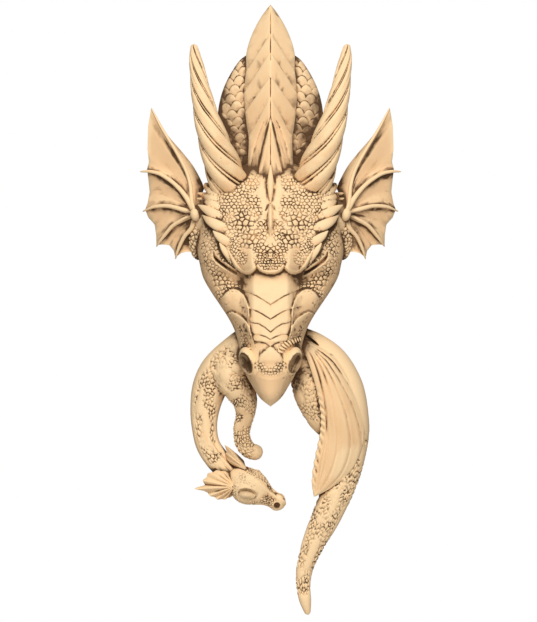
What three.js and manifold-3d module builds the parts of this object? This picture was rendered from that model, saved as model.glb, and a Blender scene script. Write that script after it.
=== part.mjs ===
// A wall relief of a dragon's head, cast in one piece with a flat back: a plated crest,
// two twisted horns, two wing-like ears, and a young dragon that lies across behind the jaws.
// Millimetres, +Z up. The relief faces -Y, and its back lies on the wall plane Y = 0.
// The origin is on the back, behind the middle of the forehead.
import * as THREE from "three";
import { mergeVertices } from "three/addons/utils/BufferGeometryUtils.js";
import Module from "manifold-3d";

const wasm = await Module();
wasm.setup();

// ---- driving dimensions ----
const HEIGHT = 611; // crest tip to tail tip
const DESIGN_HEIGHT = 611; // the stations below are drawn for this height
const SCALE = HEIGHT / DESIGN_HEIGHT;
const CREST_TOP = 236; // height of the crest's tip above the origin
const TAIL_BOTTOM = CREST_TOP - DESIGN_HEIGHT;
const WALL_BITE = 14; // how far a piece runs past the wall plane before it is cut flat

// ---- small helpers ----

// A point from its place across, its height and its depth in front of the wall.
const at = (across, up, depth) => new THREE.Vector3(across, -depth, up);

const clamp01 = (t) => Math.min(1, Math.max(0, t));
const ease = (t) => clamp01(t) ** 2 * (3 - 2 * clamp01(t));
const mix = (a, b, t) => a + (b - a) * t;

// A smooth curve through [key, value, ...] rows sorted by key: column `column` at `key`.
function through(rows, key, column = 1) {
  const last = rows.length - 1;
  const rising = rows[last][0] > rows[0][0];
  let k = 0;
  while (k < last - 1 && (rising ? key > rows[k + 1][0] : key < rows[k + 1][0])) k++;
  const slope = (i) => {
    const a = rows[Math.max(0, i - 1)];
    const b = rows[Math.min(last, i + 1)];
    return (b[column] - a[column]) / (b[0] - a[0]);
  };
  const span = rows[k + 1][0] - rows[k][0];
  const t = clamp01((key - rows[k][0]) / span);
  const from = rows[k][column];
  const to = rows[k + 1][column];
  const bend = t * (1 - t) * span;
  return mix(from, to, ease(t)) + bend * ((1 - t) * slope(k) - t * slope(k + 1));
}

// Moves every vertex of a three.js geometry to where place() puts it.
function reshape(geometry, place) {
  const position = geometry.attributes.position;
  const vertex = new THREE.Vector3();
  for (let i = 0; i < position.count; i++) {
    vertex.fromBufferAttribute(position, i);
    const moved = place(vertex);
    position.setXYZ(i, moved.x, moved.y, moved.z);
  }
  return geometry;
}

// A closed geometry as a manifold-3d solid, its faces turned to point out.
function solid(geometry) {
  const bare = geometry.clone();
  bare.deleteAttribute("normal");
  bare.deleteAttribute("uv");
  const merged = mergeVertices(bare, 1e-3);
  const make = (triVerts) =>
    new wasm.Manifold(
      new wasm.Mesh({ numProp: 3, vertProperties: merged.attributes.position.array, triVerts }),
    );
  const corners = new Uint32Array(merged.index.array);
  const made = make(corners);
  return made.volume() > 0 ? made : make(corners.reverse());
}

const join = (solids) => solids.reduce((all, one) => all.add(one));

// A limb: a ball stretched along a smooth path of [across, up, depth, radius] stations.
// `flat` squeezes it front to back, and `shift` moves a whole limb.
function limb(stations, around = 10, along = 12, flat = 1) {
  const path = new THREE.CatmullRomCurve3(stations.map(([x, z, d]) => at(x, z, d)));
  const steps = stations.length - 1;
  const radii = stations.map((row, i) => [i / steps, row[3]]);
  const ball = new THREE.SphereGeometry(1, around, along);
  return solid(
    reshape(ball, (v) => {
      const t = Math.acos(THREE.MathUtils.clamp(v.y, -1, 1)) / Math.PI;
      const turn = Math.atan2(v.x, v.z);
      const tangent = path.getTangent(t);
      const side = new THREE.Vector3(0, -1, 0).cross(tangent).normalize();
      const front = tangent.clone().cross(side).normalize();
      const endRound = Math.sqrt(clamp01(Math.min(t, 1 - t) / 0.07));
      const r = Math.hypot(v.x, v.z) < 1e-6 ? 0 : through(radii, t) * endRound;
      return path
        .getPoint(t)
        .addScaledVector(side, r * Math.sin(turn))
        .addScaledVector(front, r * flat * Math.cos(turn));
    }),
  );
}

// A lump: an ellipsoid with its centre, its half sizes and a lean in the wall plane.
function lump(across, up, depth, halfX, halfZ, halfD, lean = 0, around = 12, along = 8) {
  const turn = THREE.MathUtils.degToRad(lean);
  return solid(
    reshape(new THREE.SphereGeometry(1, around, along), (v) => {
      const x = v.x * halfX;
      const z = v.y * halfZ;
      return at(
        across + x * Math.cos(turn) - z * Math.sin(turn),
        up + x * Math.sin(turn) + z * Math.cos(turn),
        depth + v.z * halfD,
      );
    }),
  );
}

// A skin: a slab of `thickness` laid on front(u, v), u and v from 0 to 1.
function skin(front, thickness, columns, rows) {
  const slab = new THREE.BoxGeometry(1, 1, 1, columns, rows, 1);
  return solid(
    reshape(slab, (vertex) => {
      const point = front(vertex.x + 0.5, vertex.y + 0.5);
      const back = typeof thickness === "number" ? thickness : thickness(point);
      return vertex.z > 0 ? point : point.add(new THREE.Vector3(0, back, 0));
    }),
  );
}

// ---- the head: level sections from the crown to the tip of the beak ----
// [up, half width, depth of the widest line, dome depth, middle depth, back depth]
const HEAD = [
  [84, 0, 20, 20, 20, 10],
  [70, 40, 24, 40, 44, -WALL_BITE],
  [57, 60, 28, 60, 64, -WALL_BITE],
  [40, 66, 30, 72, 78, -WALL_BITE],
  [15, 70, 32, 82, 92, -WALL_BITE],
  [-10, 73, 34, 86, 101, -WALL_BITE],
  [-25, 70.5, 35, 86, 103, -WALL_BITE],
  [-37, 67.5, 36, 80, 99, -WALL_BITE],
  [-50, 60.5, 38, 78, 104, -WALL_BITE],
  [-66, 49.8, 42, 80, 111, -WALL_BITE],
  [-78, 42, 46, 82, 116, -10],
  [-90, 36, 52, 86, 121, 0],
  [-105, 31.5, 62, 94, 126, 18],
  [-120, 29, 72, 104, 129, 42],
  [-133, 25, 80, 106, 127, 58],
  [-145, 18.5, 84, 103, 119, 66],
  [-158, 10, 86, 96, 105, 76],
  [-166, 0, 92, 92, 92, 92],
];
const SNOUT_HALF_WIDTH = 25;
const HEAD_AROUND = 26;
const HEAD_ALONG = 24;

// How deep the front of the head stands, before its larger carving is added.
function headFront(across, up) {
  const half = Math.max(through(HEAD, up, 1), 0.01);
  const widest = through(HEAD, up, 2);
  const dome = through(HEAD, up, 3);
  const middle = through(HEAD, up, 4);
  const round = Math.sqrt(clamp01(1 - (across / half) ** 2)) ** 0.8;
  const snout = Math.min(SNOUT_HALF_WIDTH, half);
  const bridge = 1 - ease((Math.abs(across) / snout - 0.62) / 0.6);
  return mix(widest, dome, round) + (middle - dome) * bridge * round;
}

function headShell() {
  const ball = new THREE.SphereGeometry(1, HEAD_AROUND, HEAD_ALONG);
  const top = HEAD[0][0];
  const bottom = HEAD[HEAD.length - 1][0];
  return solid(
    reshape(ball, (v) => {
      const t = Math.acos(THREE.MathUtils.clamp(v.y, -1, 1)) / Math.PI;
      const up = mix(top, bottom, t);
      const pole = Math.hypot(v.x, v.z) < 1e-6;
      const half = pole ? 0 : through(HEAD, up, 1);
      const turn = Math.atan2(v.x, v.z); // 0 faces the room, a half turn faces the wall
      // Three quarters of the sections' points lie on the front half.
      const quarter = Math.PI / 2;
      const share = Math.abs(turn) / Math.PI;
      const angle = share < 0.75 ? (share / 0.75) * quarter : quarter * (1 + (share - 0.75) / 0.25);
      const across = Math.sign(turn) * half * Math.sin(angle);
      const widest = through(HEAD, up, 2);
      const behind = mix(widest, through(HEAD, up, 5), clamp01(-Math.cos(angle)) ** 0.7);
      const depth = angle <= quarter ? headFront(across, up) : behind;
      return at(across, up, pole ? widest : depth);
    }),
  );
}

// The brow: a rim in three scallops that overhangs the bridge of the nose.
function browRim() {
  const rim = (x) => [x, -34 + 5.5 * Math.abs(Math.cos((Math.PI * x) / 31)) ** 0.7 * -1 + 5.5];
  const middle = [-15.5, -8, 0, 8, 15.5].map((x) => [...rim(x), 101, 5]);
  middle.forEach((row) => (row[1] = -34.5 + 4 * (row[0] / 15.5) ** 2));
  const outer = [
    [15, -30.5, 99, 5],
    [20, -34, 98, 5.5],
    [26, -34.5, 95, 6],
    [33, -28, 92, 6],
    [41, -17, 87, 6],
    [50, -5, 74, 3],
  ];
  return join([limb(middle, 6, 6), ...bothSides((side) => limb(mirrored(outer, side), 6, 9))]);
}

const mirrored = (stations, side) => stations.map(([x, ...rest]) => [x * side, ...rest]);
const bothSides = (build) => [build(-1), build(1)];

// Plates on the bridge of the nose, each with a V-shaped lower edge over the next.
// [height of the V's point, height of its shoulders, half width]
const NOSE_PLATES = [
  [-63, -50, 22],
  [-77.5, -68, 21.5],
  [-90.5, -80, 20.5],
  [-98, -88, 17],
  [-105, -96, 13],
];
const PLATE_STEP = 2.6;

function nosePlate([point, shoulder, half], index) {
  const top = index ? NOSE_PLATES[index - 1][1] + 6 : -36;
  const edge = (across) => mix(point, shoulder, ease(Math.abs(across) / half) ** 0.8);
  return skin(
    (u, v) => {
      const across = mix(-half, half, u);
      const up = mix(edge(across), top, v);
      const lift = PLATE_STEP * (1 - v) + 1.5;
      return at(across, up, headFront(across, up) + lift);
    },
    6,
    2,
  );
}

// The nose: a leaf-shaped boss, with a flared nostril on each side.
function nostril(side) {
  const flare = lump(side * 21.5, -122, 106, 9, 14, 17, side * 16, 10, 7);
  const hole = lump(side * 24.6, -124, 121, 5, 9.3, 16, side * 18, 10, 6);
  return { flare, hole };
}

// ---- spikes: curved cones with a root inside the head ----
const TEMPLE_SPIKES = [
  [[46, 36, 58, 8], [60, 48, 48, 7], [67, 55.5, 42, 3]],
  [[48, 28, 60, 8], [62, 40, 52, 6], [73, 46.5, 47, 1.2]],
  [[48, 20, 64, 9], [62, 30, 60, 6.5], [73, 34, 55, 1.2]],
  [[40, 4, 74, 10], [54, 14, 70, 7.5], [67, 23.5, 64, 1]],
  [[38, -6, 80, 9], [48, 0, 78, 6.5], [57, 8, 74, 1]],
  [[32, -22, 88, 8], [42, -12, 85, 6], [50, -4.5, 80, 1]],
];
// Spines on the middle line: [top, length, half width at the base, depth at the tip, at the base]
const SPINES = [
  [74, 50, 11, 72, 91],
  [36, 36, 8, 88, 99],
];

function spine([top, length, half, tipDepth, baseDepth]) {
  const rows = [
    [0, top, tipDepth, 0.6],
    [0, top - length * 0.35, mix(tipDepth, baseDepth, 0.5), half * 0.42],
    [0, top - length, baseDepth - 3, half * 0.3],
  ];
  return limb(rows, 8, 5, 1.3);
}

// ---- the crest: pointed plates along the neck, scaled lobes beside them ----
// [up, half width, ridge depth, edge depth]
const CREST = [
  [236, 0, 16, 10],
  [225, 8, 21, 12],
  [212, 15.4, 26, 13],
  [199, 21, 30, 14],
  [186, 24.2, 34, 16],
  [157, 25.8, 39, 19],
  [142, 26.4, 42, 21],
  [116, 24, 47, 25],
  [101, 21.5, 51, 30],
  [66, 23.5, 62, 40],
];
// Each plate's point on the ridge, and how steeply its two edges fall away.
const CREST_PLATES = [
  [206.7, 1.56],
  [188.3, 1.62],
  [164.2, 1.6],
  [143.6, 1.9],
  [121.8, 3.6],
];
const CREST_STEP = 2.6; // each plate stands this far over the one behind it
const CREST_BOTTOM = 62;

// One plate: a roof with a ridge in the middle, from its pointed top down to the head.
function crestPlate(point, fall, level) {
  const width = (up) => through(CREST, up, 1);
  return skin(
    (u, v) => {
      const u2 = 2 * u - 1;
      let top = point;
      for (let i = 0; i < 12; i++) top = point - fall * Math.abs(u2) * width(top);
      const up = mix(CREST_BOTTOM, Math.max(top, CREST_BOTTOM + 4), v);
      const half = fall > 3 ? Math.min(width(up), (point - up) / fall) : width(up);
      const across = u2 * Math.max(half, 0.01);
      const roof = through(CREST, up, 2) - through(CREST, up, 3);
      const share = Math.abs(across) / Math.max(width(up), 0.01);
      const depth = through(CREST, up, 2) - roof * share + level * CREST_STEP;
      return at(across, up, depth);
    },
    (p) => -p.y + WALL_BITE,
    4,
    5,
  );
}

function crestLeaf() {
  return skin(
    (u, v) => {
      const up = mix(CREST_BOTTOM, CREST_TOP - 0.5, v);
      const share = Math.abs(2 * u - 1);
      const across = (2 * u - 1) * Math.max(through(CREST, up, 1), 0.3);
      return at(across, up, mix(through(CREST, up, 2), through(CREST, up, 3), share));
    },
    (p) => -p.y + WALL_BITE,
    2,
    10,
  );
}

// Neck lobes: [up, half width, depth]
const LOBES = [
  [190, 18, 10],
  [180, 31, 14],
  [169, 38.8, 17],
  [157, 44.6, 20],
  [145, 49.2, 22],
  [130, 52.2, 24],
  [112, 52, 25],
  [90, 47, 24],
  [60, 36, 22],
];

function neckLobes() {
  return skin(
    (u, v) => {
      const up = mix(LOBES[LOBES.length - 1][0], LOBES[0][0], v);
      const s = Math.sin((u - 0.5) * Math.PI);
      const round = Math.sqrt(1 - s * s * 0.96);
      return at(s * through(LOBES, up, 1), up, mix(3, through(LOBES, up, 2), round));
    },
    (p) => -p.y + WALL_BITE,
    10,
    8,
  );
}

// ---- horns ----
const HORN = [
  [34, 40, 56, 21],
  [44.5, 70, 70, 20.5],
  [57.5, 101, 76, 16.6],
  [65.6, 127, 76, 13],
  [71.3, 154, 71, 9.6],
  [75.4, 180, 63, 6.2],
  [76.9, 196, 56, 4],
];

// ---- ears: a skin between five curved ribs that spread from one hub ----
const EAR_HUB = [73.5, 26, 50];
// [control across, up, depth, tip across, up, depth]
const EAR_RIBS = [
  [76, 68, 46, 118.8, 132, 32],
  [92, 68, 40, 131.5, 69, 22],
  [96, 36, 38, 127.8, 29, 20],
  [90, 20, 40, 113.8, -6.5, 24],
  [84, 8, 42, 95.7, -18.5, 30],
  [78, 12, 42, 79.5, -11, 32],
];
// How deeply the rim curves in between each rib and the next, as a share of its reach.
const EAR_SCALLOPS = [0.01, 0.09, 0.06, 0.18, 0.1];
const EAR_SAG = 5;
const EAR_THICKNESS = 5;

function earRib(side, [cx, cz, cd, tx, tz, td]) {
  const [hx, hz, hd] = EAR_HUB;
  return new THREE.QuadraticBezierCurve3(
    at(side * hx, hz, hd),
    at(side * cx, cz, cd),
    at(side * tx, tz, td),
  );
}

function ear(side) {
  const ribs = EAR_RIBS.map((rib) => earRib(side, rib));
  const web = skin(
    (u, v) => {
      const place = u * (ribs.length - 1);
      const k = Math.min(Math.floor(place), ribs.length - 2);
      const f = place - k;
      const arch = 4 * f * (1 - f);
      const reach = (0.05 + 0.95 * v) * (1 - EAR_SCALLOPS[k] * arch * v);
      const point = ribs[k].getPoint(reach).lerp(ribs[k + 1].getPoint(reach), f);
      return point.add(new THREE.Vector3(0, EAR_SAG * arch * Math.sin(Math.PI * v * 0.8), 0));
    },
    EAR_THICKNESS,
    15,
    3,
  );
  const bars = EAR_RIBS.slice(0, -1).map((rib, i) => {
    const curve = earRib(side, rib);
    const width = i === 0 ? 9 : 4.4;
    const rows = [0, 0.3, 0.7, 1].map((t) => {
      const p = curve.getPoint(t);
      return [p.x, p.z, -p.y - 1, mix(width, 1.2, t ** 0.8)];
    });
    return limb(rows, 6, 4);
  });
  const root = lump(side * 68, 24, 40, 13, 20, 16, 0, 6, 5);
  const jowl = lump(side * 69, 0, 26, 8, 23, 17, 0, 6, 5);
  return [web, ...bars, root, jowl];
}

// ---- the young dragon ----
const YOUNG = {
  neck: [
    [-27, -110, 40, 20],
    [-51, -128, 30, 17.5],
    [-60.5, -147, 24, 17.5],
    [-65.5, -168, 22, 14.8],
    [-66, -188, 22, 12.6],
    [-62, -206, 24, 12],
    [-51, -222, 27, 12],
    [-36, -237, 32, 12],
  ],
  shoulder: [
    [-22, -110, 40, 19],
    [-38, -132, 42, 20],
    [-31, -149, 44, 16],
    [-25.8, -161, 44, 12.8],
    [-25.2, -174, 40, 9.8],
    [-28.8, -190, 34, 8.8],
    [-27.5, -203, 32, 8.8],
    [-19, -211.5, 32, 8.6],
    [-9.3, -212, 32, 7],
  ],
  skull: [
    [-39, -248, 34, 10],
    [-30, -246.5, 38, 19],
    [-18, -247.5, 38, 20],
    [-8, -251.5, 36, 14.4],
    [1, -256.5, 34, 10.2],
    [7, -262, 33, 10],
    [11, -265.5, 32, 8],
  ],
  haunch: [
    [28, -106, 34, 18],
    [38, -127, 34, 20],
    [41, -150, 32, 19],
    [50, -176, 28, 15],
    [60, -198, 22, 6],
  ],
  back: [
    [26, -100, 30, 13],
    [44, -106, 30, 13.5],
    [62.5, -122, 28, 15.5],
    [75.5, -147, 26, 17],
    [81, -175, 24, 17],
    [81, -200, 22, 17],
    [72, -238, 18, 16.5],
    [57, -274, 15, 14.8],
    [43, -304, 12, 11.5],
    [34.5, -328, 10, 8.6],
    [32.8, -346, 9, 7.2],
    [35, -362, 8, 5.8],
    [37.5, -374, 7, 2.2],
  ],
};
// The folded wing: its outer and inner edges, [share of the way down, across, up, depth]
const WING_OUTER = [
  [0, 35, -88, 44],
  [0.16, 57, -101, 48],
  [0.32, 78.5, -125, 44],
  [0.48, 92.5, -151, 36],
  [0.64, 97.5, -182, 32],
  [0.78, 92, -212, 32],
  [0.9, 68, -242, 34],
  [1, 45, -257, 34],
];
const WING_INNER = [
  [0, 30, -104, 56],
  [0.16, 37, -120, 60],
  [0.34, 45, -146, 58],
  [0.52, 50.5, -174, 52],
  [0.68, 49, -196, 46],
  [0.82, 43.5, -222, 41],
  [0.92, 41, -242, 37],
  [1, 42.8, -256.5, 34],
];
const WING_CROWN = 12;
const WING_FOLDS = 5;
const WING_FOLD_DEPTH = 2.2;

function wing() {
  const edge = (rows, v) => at(through(rows, v, 1), through(rows, v, 2), through(rows, v, 3));
  return skin(
    (u, v) => {
      const down = 1 - v;
      const point = edge(WING_INNER, down).lerp(edge(WING_OUTER, down), u);
      const belly = Math.sin(Math.PI * clamp01(u)) * Math.sin(Math.PI * clamp01(down * 0.85 + 0.1));
      const fold = WING_FOLD_DEPTH * Math.cos(2 * Math.PI * WING_FOLDS * u) * Math.sin(Math.PI * v);
      return point.add(new THREE.Vector3(0, -WING_CROWN * belly - fold, 0));
    },
    (p) => -p.y + WALL_BITE - 12,
    15,
    7,
  );
}

// A fan-shaped ear of the young dragon: a pleated skin with a toothed rim.
function fan(hub, from, to, reach, depths, teeth) {
  const [across, up, depth] = hub;
  return skin(
    (u, v) => {
      const angle = THREE.MathUtils.degToRad(mix(from, to, u));
      const pleat = Math.cos(2 * Math.PI * teeth * u);
      const radius = (0.1 + 0.9 * v) * through(reach, u) * (1 + 0.07 * pleat * v);
      const rise = mix(depth, depths, v) + 0.9 * pleat * v;
      return at(across + radius * Math.cos(angle), up + radius * Math.sin(angle), rise);
    },
    3.2,
    teeth * 2,
    2,
  );
}

function youngDragon() {
  const skull = limb(YOUNG.skull, 10, 9, 0.85);
  const eye = lump(-22.5, -254.5, 46, 8, 4.5, 8, -12, 10, 6);
  const eyeHole = lump(-22, -254.5, 54, 7.5, 3.6, 3.5, -14, 10, 6);
  const nose = lump(7.5, -265.5, 44, 3.6, 3.6, 6, 0, 8, 6);
  const nearReach = [[0, 20], [0.25, 27], [0.42, 31], [0.56, 37], [0.68, 31], [0.84, 20], [1, 14]];
  const farReach = [[0, 18], [0.3, 33], [0.65, 24], [1, 22]];
  const nearFan = fan([-36, -247, 40], 116, 240, nearReach, 34, 8);
  const farFan = fan([-24, -229, 42], 122, 168, farReach, 30, 4);
  return join([
    limb(YOUNG.neck, 10, 12),
    limb(YOUNG.shoulder, 8, 12),
    skull.add(eye).subtract(eyeHole).subtract(nose),
    nearFan,
    farFan,
    limb(YOUNG.haunch, 10, 7),
    limb(YOUNG.back, 10, 16),
    wing(),
  ]);
}

// ---- putting it together ----

function dragonHead() {
  const nostrils = bothSides(nostril);
  const spikes = bothSides((side) =>
    join(TEMPLE_SPIKES.map((rows) => limb(mirrored(rows, side), 6, 5, 1.2))),
  );
  const boss = lump(0, -118, 121, 11.8, 13.5, 13, 0, 10, 6);
  const eyes = bothSides((side) => lump(side * 46, -24.5, 84, 12, 3.2, 12, side * 36, 8, 6));
  const head = join([
    headShell(),
    browRim(),
    ...NOSE_PLATES.map(nosePlate),
    boss,
    ...nostrils.map((n) => n.flare),
    ...SPINES.map(spine),
    ...spikes,
  ]);
  return [...nostrils.map((n) => n.hole), ...eyes].reduce((all, hole) => all.subtract(hole), head);
}

function relief() {
  const whole = join([
    dragonHead(),
    crestLeaf(),
    ...CREST_PLATES.map(([point, fall], i) => crestPlate(point, fall, i + 1)),
    neckLobes(),
    ...bothSides((side) => limb(mirrored(HORN, side), 12, 9)),
    ...bothSides(ear).flat(),
    youngDragon(),
  ]);
  const behindWall = solid(new THREE.BoxGeometry(600, 100, 1000).translate(0, 50, TAIL_BOTTOM / 2));
  return whole.subtract(behindWall);
}

// A solid's faces as a three.js geometry.
function geometryOf(made) {
  const mesh = made.getMesh();
  const points = new Float32Array(mesh.numVert * 3);
  for (let i = 0; i < mesh.numVert; i++) {
    const from = i * mesh.numProp;
    points.set(mesh.vertProperties.subarray(from, from + 3), i * 3);
  }
  const geometry = new THREE.BufferGeometry();
  geometry.setAttribute("position", new THREE.BufferAttribute(points, 3));
  geometry.setIndex(new THREE.BufferAttribute(mesh.triVerts, 1));
  geometry.computeVertexNormals();
  return geometry.scale(SCALE, SCALE, SCALE);
}

const castStone = new THREE.MeshStandardMaterial({
  color: new THREE.Color(0.86, 0.66, 0.42),
  roughness: 0.8,
  metalness: 0,
});
const dragon = new THREE.Mesh(geometryOf(relief()), castStone);
dragon.name = "dragon_relief";

const group = new THREE.Group();
group.add(dragon);
export default group;
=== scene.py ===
# %% [markdown]
# # A dragon's-head wall relief
#
# The real object is one casting in sand-coloured stone composite, with a flat back, hung on a
# wall. A caster pours the whole of it in one mould, so here too every horn, ear and scale ends
# up in one closed mesh. Each part of it is first shaped on its own, as a sculptor would model
# it in clay: a plain grid or rod is made with one bmesh operator, and then a short formula says
# where each of its points goes. At the end the parts are joined and cut flat at the wall.
#
# Lengths in the formulas are millimetres: `across` to the right, `up`, and `depth` out of the
# wall towards the room.

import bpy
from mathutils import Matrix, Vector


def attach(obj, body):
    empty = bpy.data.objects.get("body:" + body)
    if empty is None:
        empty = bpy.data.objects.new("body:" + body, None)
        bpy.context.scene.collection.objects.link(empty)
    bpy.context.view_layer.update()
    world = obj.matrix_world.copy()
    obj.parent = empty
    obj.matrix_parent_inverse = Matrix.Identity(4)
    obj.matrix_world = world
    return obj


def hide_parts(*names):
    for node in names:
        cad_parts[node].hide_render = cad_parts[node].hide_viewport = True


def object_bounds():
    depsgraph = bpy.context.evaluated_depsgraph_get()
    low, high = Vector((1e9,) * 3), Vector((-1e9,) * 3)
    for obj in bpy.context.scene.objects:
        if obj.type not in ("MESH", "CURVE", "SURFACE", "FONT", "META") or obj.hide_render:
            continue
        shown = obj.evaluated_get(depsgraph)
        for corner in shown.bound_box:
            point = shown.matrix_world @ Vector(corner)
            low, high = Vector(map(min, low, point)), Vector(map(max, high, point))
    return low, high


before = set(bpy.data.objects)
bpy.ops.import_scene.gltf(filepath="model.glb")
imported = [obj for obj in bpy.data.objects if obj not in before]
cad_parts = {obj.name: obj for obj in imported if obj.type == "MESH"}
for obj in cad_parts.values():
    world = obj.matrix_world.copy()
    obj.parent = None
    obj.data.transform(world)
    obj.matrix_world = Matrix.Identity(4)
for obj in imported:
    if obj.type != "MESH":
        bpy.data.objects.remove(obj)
cad_low, cad_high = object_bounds()
print("solid model, metres:", [round(v, 4) for v in (*cad_low, *cad_high)])

# %% [markdown]
# The height of the solid model's box sets the scale of the formulas, so the relief follows if
# the solid is drawn larger or smaller.

# %% Tools and the unit
import math

import bmesh
import bpy
import numpy as np
from mathutils import Vector

DRAWN_HEIGHT = 609.5  # the formulas are drawn for a relief this many millimetres tall
MM = (cad_high.z - cad_low.z) / DRAWN_HEIGHT
BEHIND_WALL = -14.0  # pieces run this far past the wall before the flat cut
print("one drawn millimetre is", round(MM, 6), "m")

# %% [markdown]
# ## Soft steps, smooth curves and fixed chance
#
# Relief work needs few shapes: a soft step for the edge of a plate, a round rise for a roll,
# and a smooth line through measured stations. All of them take whole arrays of points at once,
# which is how numpy stays quick on a hundred thousand points.

# %% Small shape helpers
def mix(a, b, t):
    return a + (b - a) * t


def ease(t):
    t = np.clip(t, 0.0, 1.0)
    return t * t * (3.0 - 2.0 * t)


def step(value, start, width):
    """0 before start, 1 after start + width, with a soft change between."""
    return ease((value - start) / width)


def roll(value, centre, half):
    """A round ridge of height 1 along value = centre."""
    return np.exp(-(((value - centre) / half) ** 2))


def curve(rows, key, column=1):
    """A smooth line through rows of [key, value, ...], read at every key."""
    table = np.array(rows, float)
    if table[0, 0] > table[-1, 0]:
        table = table[::-1]
    x, y = table[:, 0], table[:, column]
    lead, lag = np.r_[x[1:], x[-1]], np.r_[x[0], x[:-1]]
    slope = (np.r_[y[1:], y[-1]] - np.r_[y[0], y[:-1]]) / (lead - lag)
    k = np.clip(np.searchsorted(x, key) - 1, 0, len(x) - 2)
    span = x[k + 1] - x[k]
    t = np.clip((key - x[k]) / span, 0.0, 1.0)
    bend = t * (1 - t) * span
    return mix(y[k], y[k + 1], ease(t)) + bend * ((1 - t) * slope[k] - t * slope[k + 1])


def spline(stations, t):
    """Points at t (0 to 1) on a smooth path through the stations, and its directions."""
    p = np.array(stations, float)
    spans = len(p) - 1
    place = np.clip(np.asarray(t, float), 0, 1) * spans
    k = np.minimum(place.astype(int), spans - 1)
    f = (place - k)[:, None]
    ends = np.vstack([2 * p[0] - p[1], p, 2 * p[-1] - p[-2]])
    a, b, c, d = ends[k], ends[k + 1], ends[k + 2], ends[k + 3]
    spot = 0.5 * (2 * b + (c - a) * f + (2 * a - 5 * b + 4 * c - d) * f**2)
    spot += 0.5 * (3 * b - a - 3 * c + d) * f**3
    way = 0.5 * ((c - a) + 2 * (2 * a - 5 * b + 4 * c - d) * f + 3 * (3 * b - a - 3 * c + d) * f**2)
    return spot, way


def beside(line, a, b):
    """Distance of points (a, b) from a bent line: plus on its left, minus on its right."""
    line = np.array(line, float)
    best = np.full(a.shape, np.inf)
    signed = np.zeros(a.shape)
    for (x0, y0), (x1, y1) in zip(line[:-1], line[1:]):
        dx, dy = x1 - x0, y1 - y0
        f = np.clip(((a - x0) * dx + (b - y0) * dy) / (dx * dx + dy * dy), 0, 1)
        gap = np.hypot(a - x0 - f * dx, b - y0 - f * dy)
        turn = dx * (b - y0) - dy * (a - x0)
        closer = gap < best - 1e-9
        best = np.where(closer, gap, best)
        signed = np.where(closer, np.sign(turn) * gap, signed)
    return signed


# %% [markdown]
# ## Skin
#
# Reptile skin is a patchwork of rounded pebbles with narrow grooves between them. A cell
# pattern gives it: scattered centres, and for each point the distances to the nearest and the
# second nearest of them. Where the two are equal lies a groove. The neck lobes wear overlapping
# round scales instead, so they get a pattern of staggered discs. The chance comes from seeded
# tables, so the skin is the same on every run.

# %% Cell pattern, soft noise and round scales
CHANCES = 64  # a table of chance repeats after this many cells
ROW_PITCH = 0.92  # rows of pebbles lie a little closer than columns


def chance(seed):
    """A way to look up two fixed random numbers for each cell."""
    table = np.random.default_rng(seed).random((CHANCES, CHANCES, 2))
    return lambda column, row: table[column % CHANCES, row % CHANCES]


def pebbles(a, b, size, seed, scatter=0.8, groove=0.34):
    """Rounded pebbles about `size` across: 0 in the grooves, 1 on top."""
    drawn = chance(seed)
    x, y = a / size, b / (size * ROW_PITCH)
    column, row = np.floor(x).astype(int), np.floor(y).astype(int)
    near, second = np.full(x.shape, 9.0), np.full(x.shape, 9.0)
    for j in (-1, 0, 1):
        for i in (-2, -1, 0, 1, 2):
            c, r = column + i, row + j
            spot = drawn(c, r)
            across = c + 0.5 * (r % 2) + 0.5 + scatter * (spot[..., 0] - 0.5)
            up = r + 0.5 + scatter * (spot[..., 1] - 0.5)
            gap = np.hypot(x - across, y - up)
            second = np.minimum(second, np.maximum(near, gap))
            near = np.minimum(near, gap)
    return ease((second - near) / groove) * (1.0 - 0.45 * np.clip(near, 0, 1) ** 2)


def noise(a, b, size, seed):
    """Soft noise from 0 to 1 with blotches about `size` across."""
    drawn = chance(seed)
    x, y = a / size, b / size
    c, r = np.floor(x).astype(int), np.floor(y).astype(int)
    f, g = ease(x - c), ease(y - r)
    low = mix(drawn(c, r)[..., 0], drawn(c + 1, r)[..., 0], f)
    high = mix(drawn(c, r + 1)[..., 0], drawn(c + 1, r + 1)[..., 0], f)
    return mix(low, high, g)


def round_scales(a, b, width, rise):
    """Overlapping round scales whose free ends point up: domes that rise to their free end."""
    x, y = a / width, b / rise
    row = np.floor(y).astype(int)
    found = np.zeros(x.shape, bool)
    height = np.zeros(x.shape)
    for j in (-1, 0, 1):  # lower rows lie over higher ones
        r = row + j
        middle = np.round(x - 0.5 * (r % 2)) + 0.5 * (r % 2)
        arch = np.sqrt(np.clip(1 - ((x - middle) / 0.56) ** 2, 0, 1))
        top = r + 1.0 - 1.15 * (1.0 - arch)
        inside = (y < top) & ~found
        dome = (1 - (top - y) / 2.2) * ease((top - y) / 0.3 + 0.25) * (0.45 + 0.55 * arch)
        height = np.where(inside, dome, height)
        found |= inside
    return height


# %% [markdown]
# ## Three ways to make a piece
#
# `slab` is a sheet of clay laid on a form: one grid, with walls drawn back from its rim and a
# flat foot. `leaf` is a thin sheet with two faces, for ears and the wing. `limb` is a rod drawn
# along a path, for horns, legs and tails. Each starts from one operator and keeps its own count
# of points, so a surface with fine skin can have a finer mesh than a plain one.

# %% Finishing a mesh
def linked(name, data):
    piece = bpy.data.objects.new(name, data)
    bpy.context.scene.collection.objects.link(piece)
    return piece


def points_of(mesh, field="co"):
    values = np.empty(len(mesh.vertices) * 3)
    mesh.vertices.foreach_get(field, values)
    return values.reshape(-1, 3)


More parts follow.
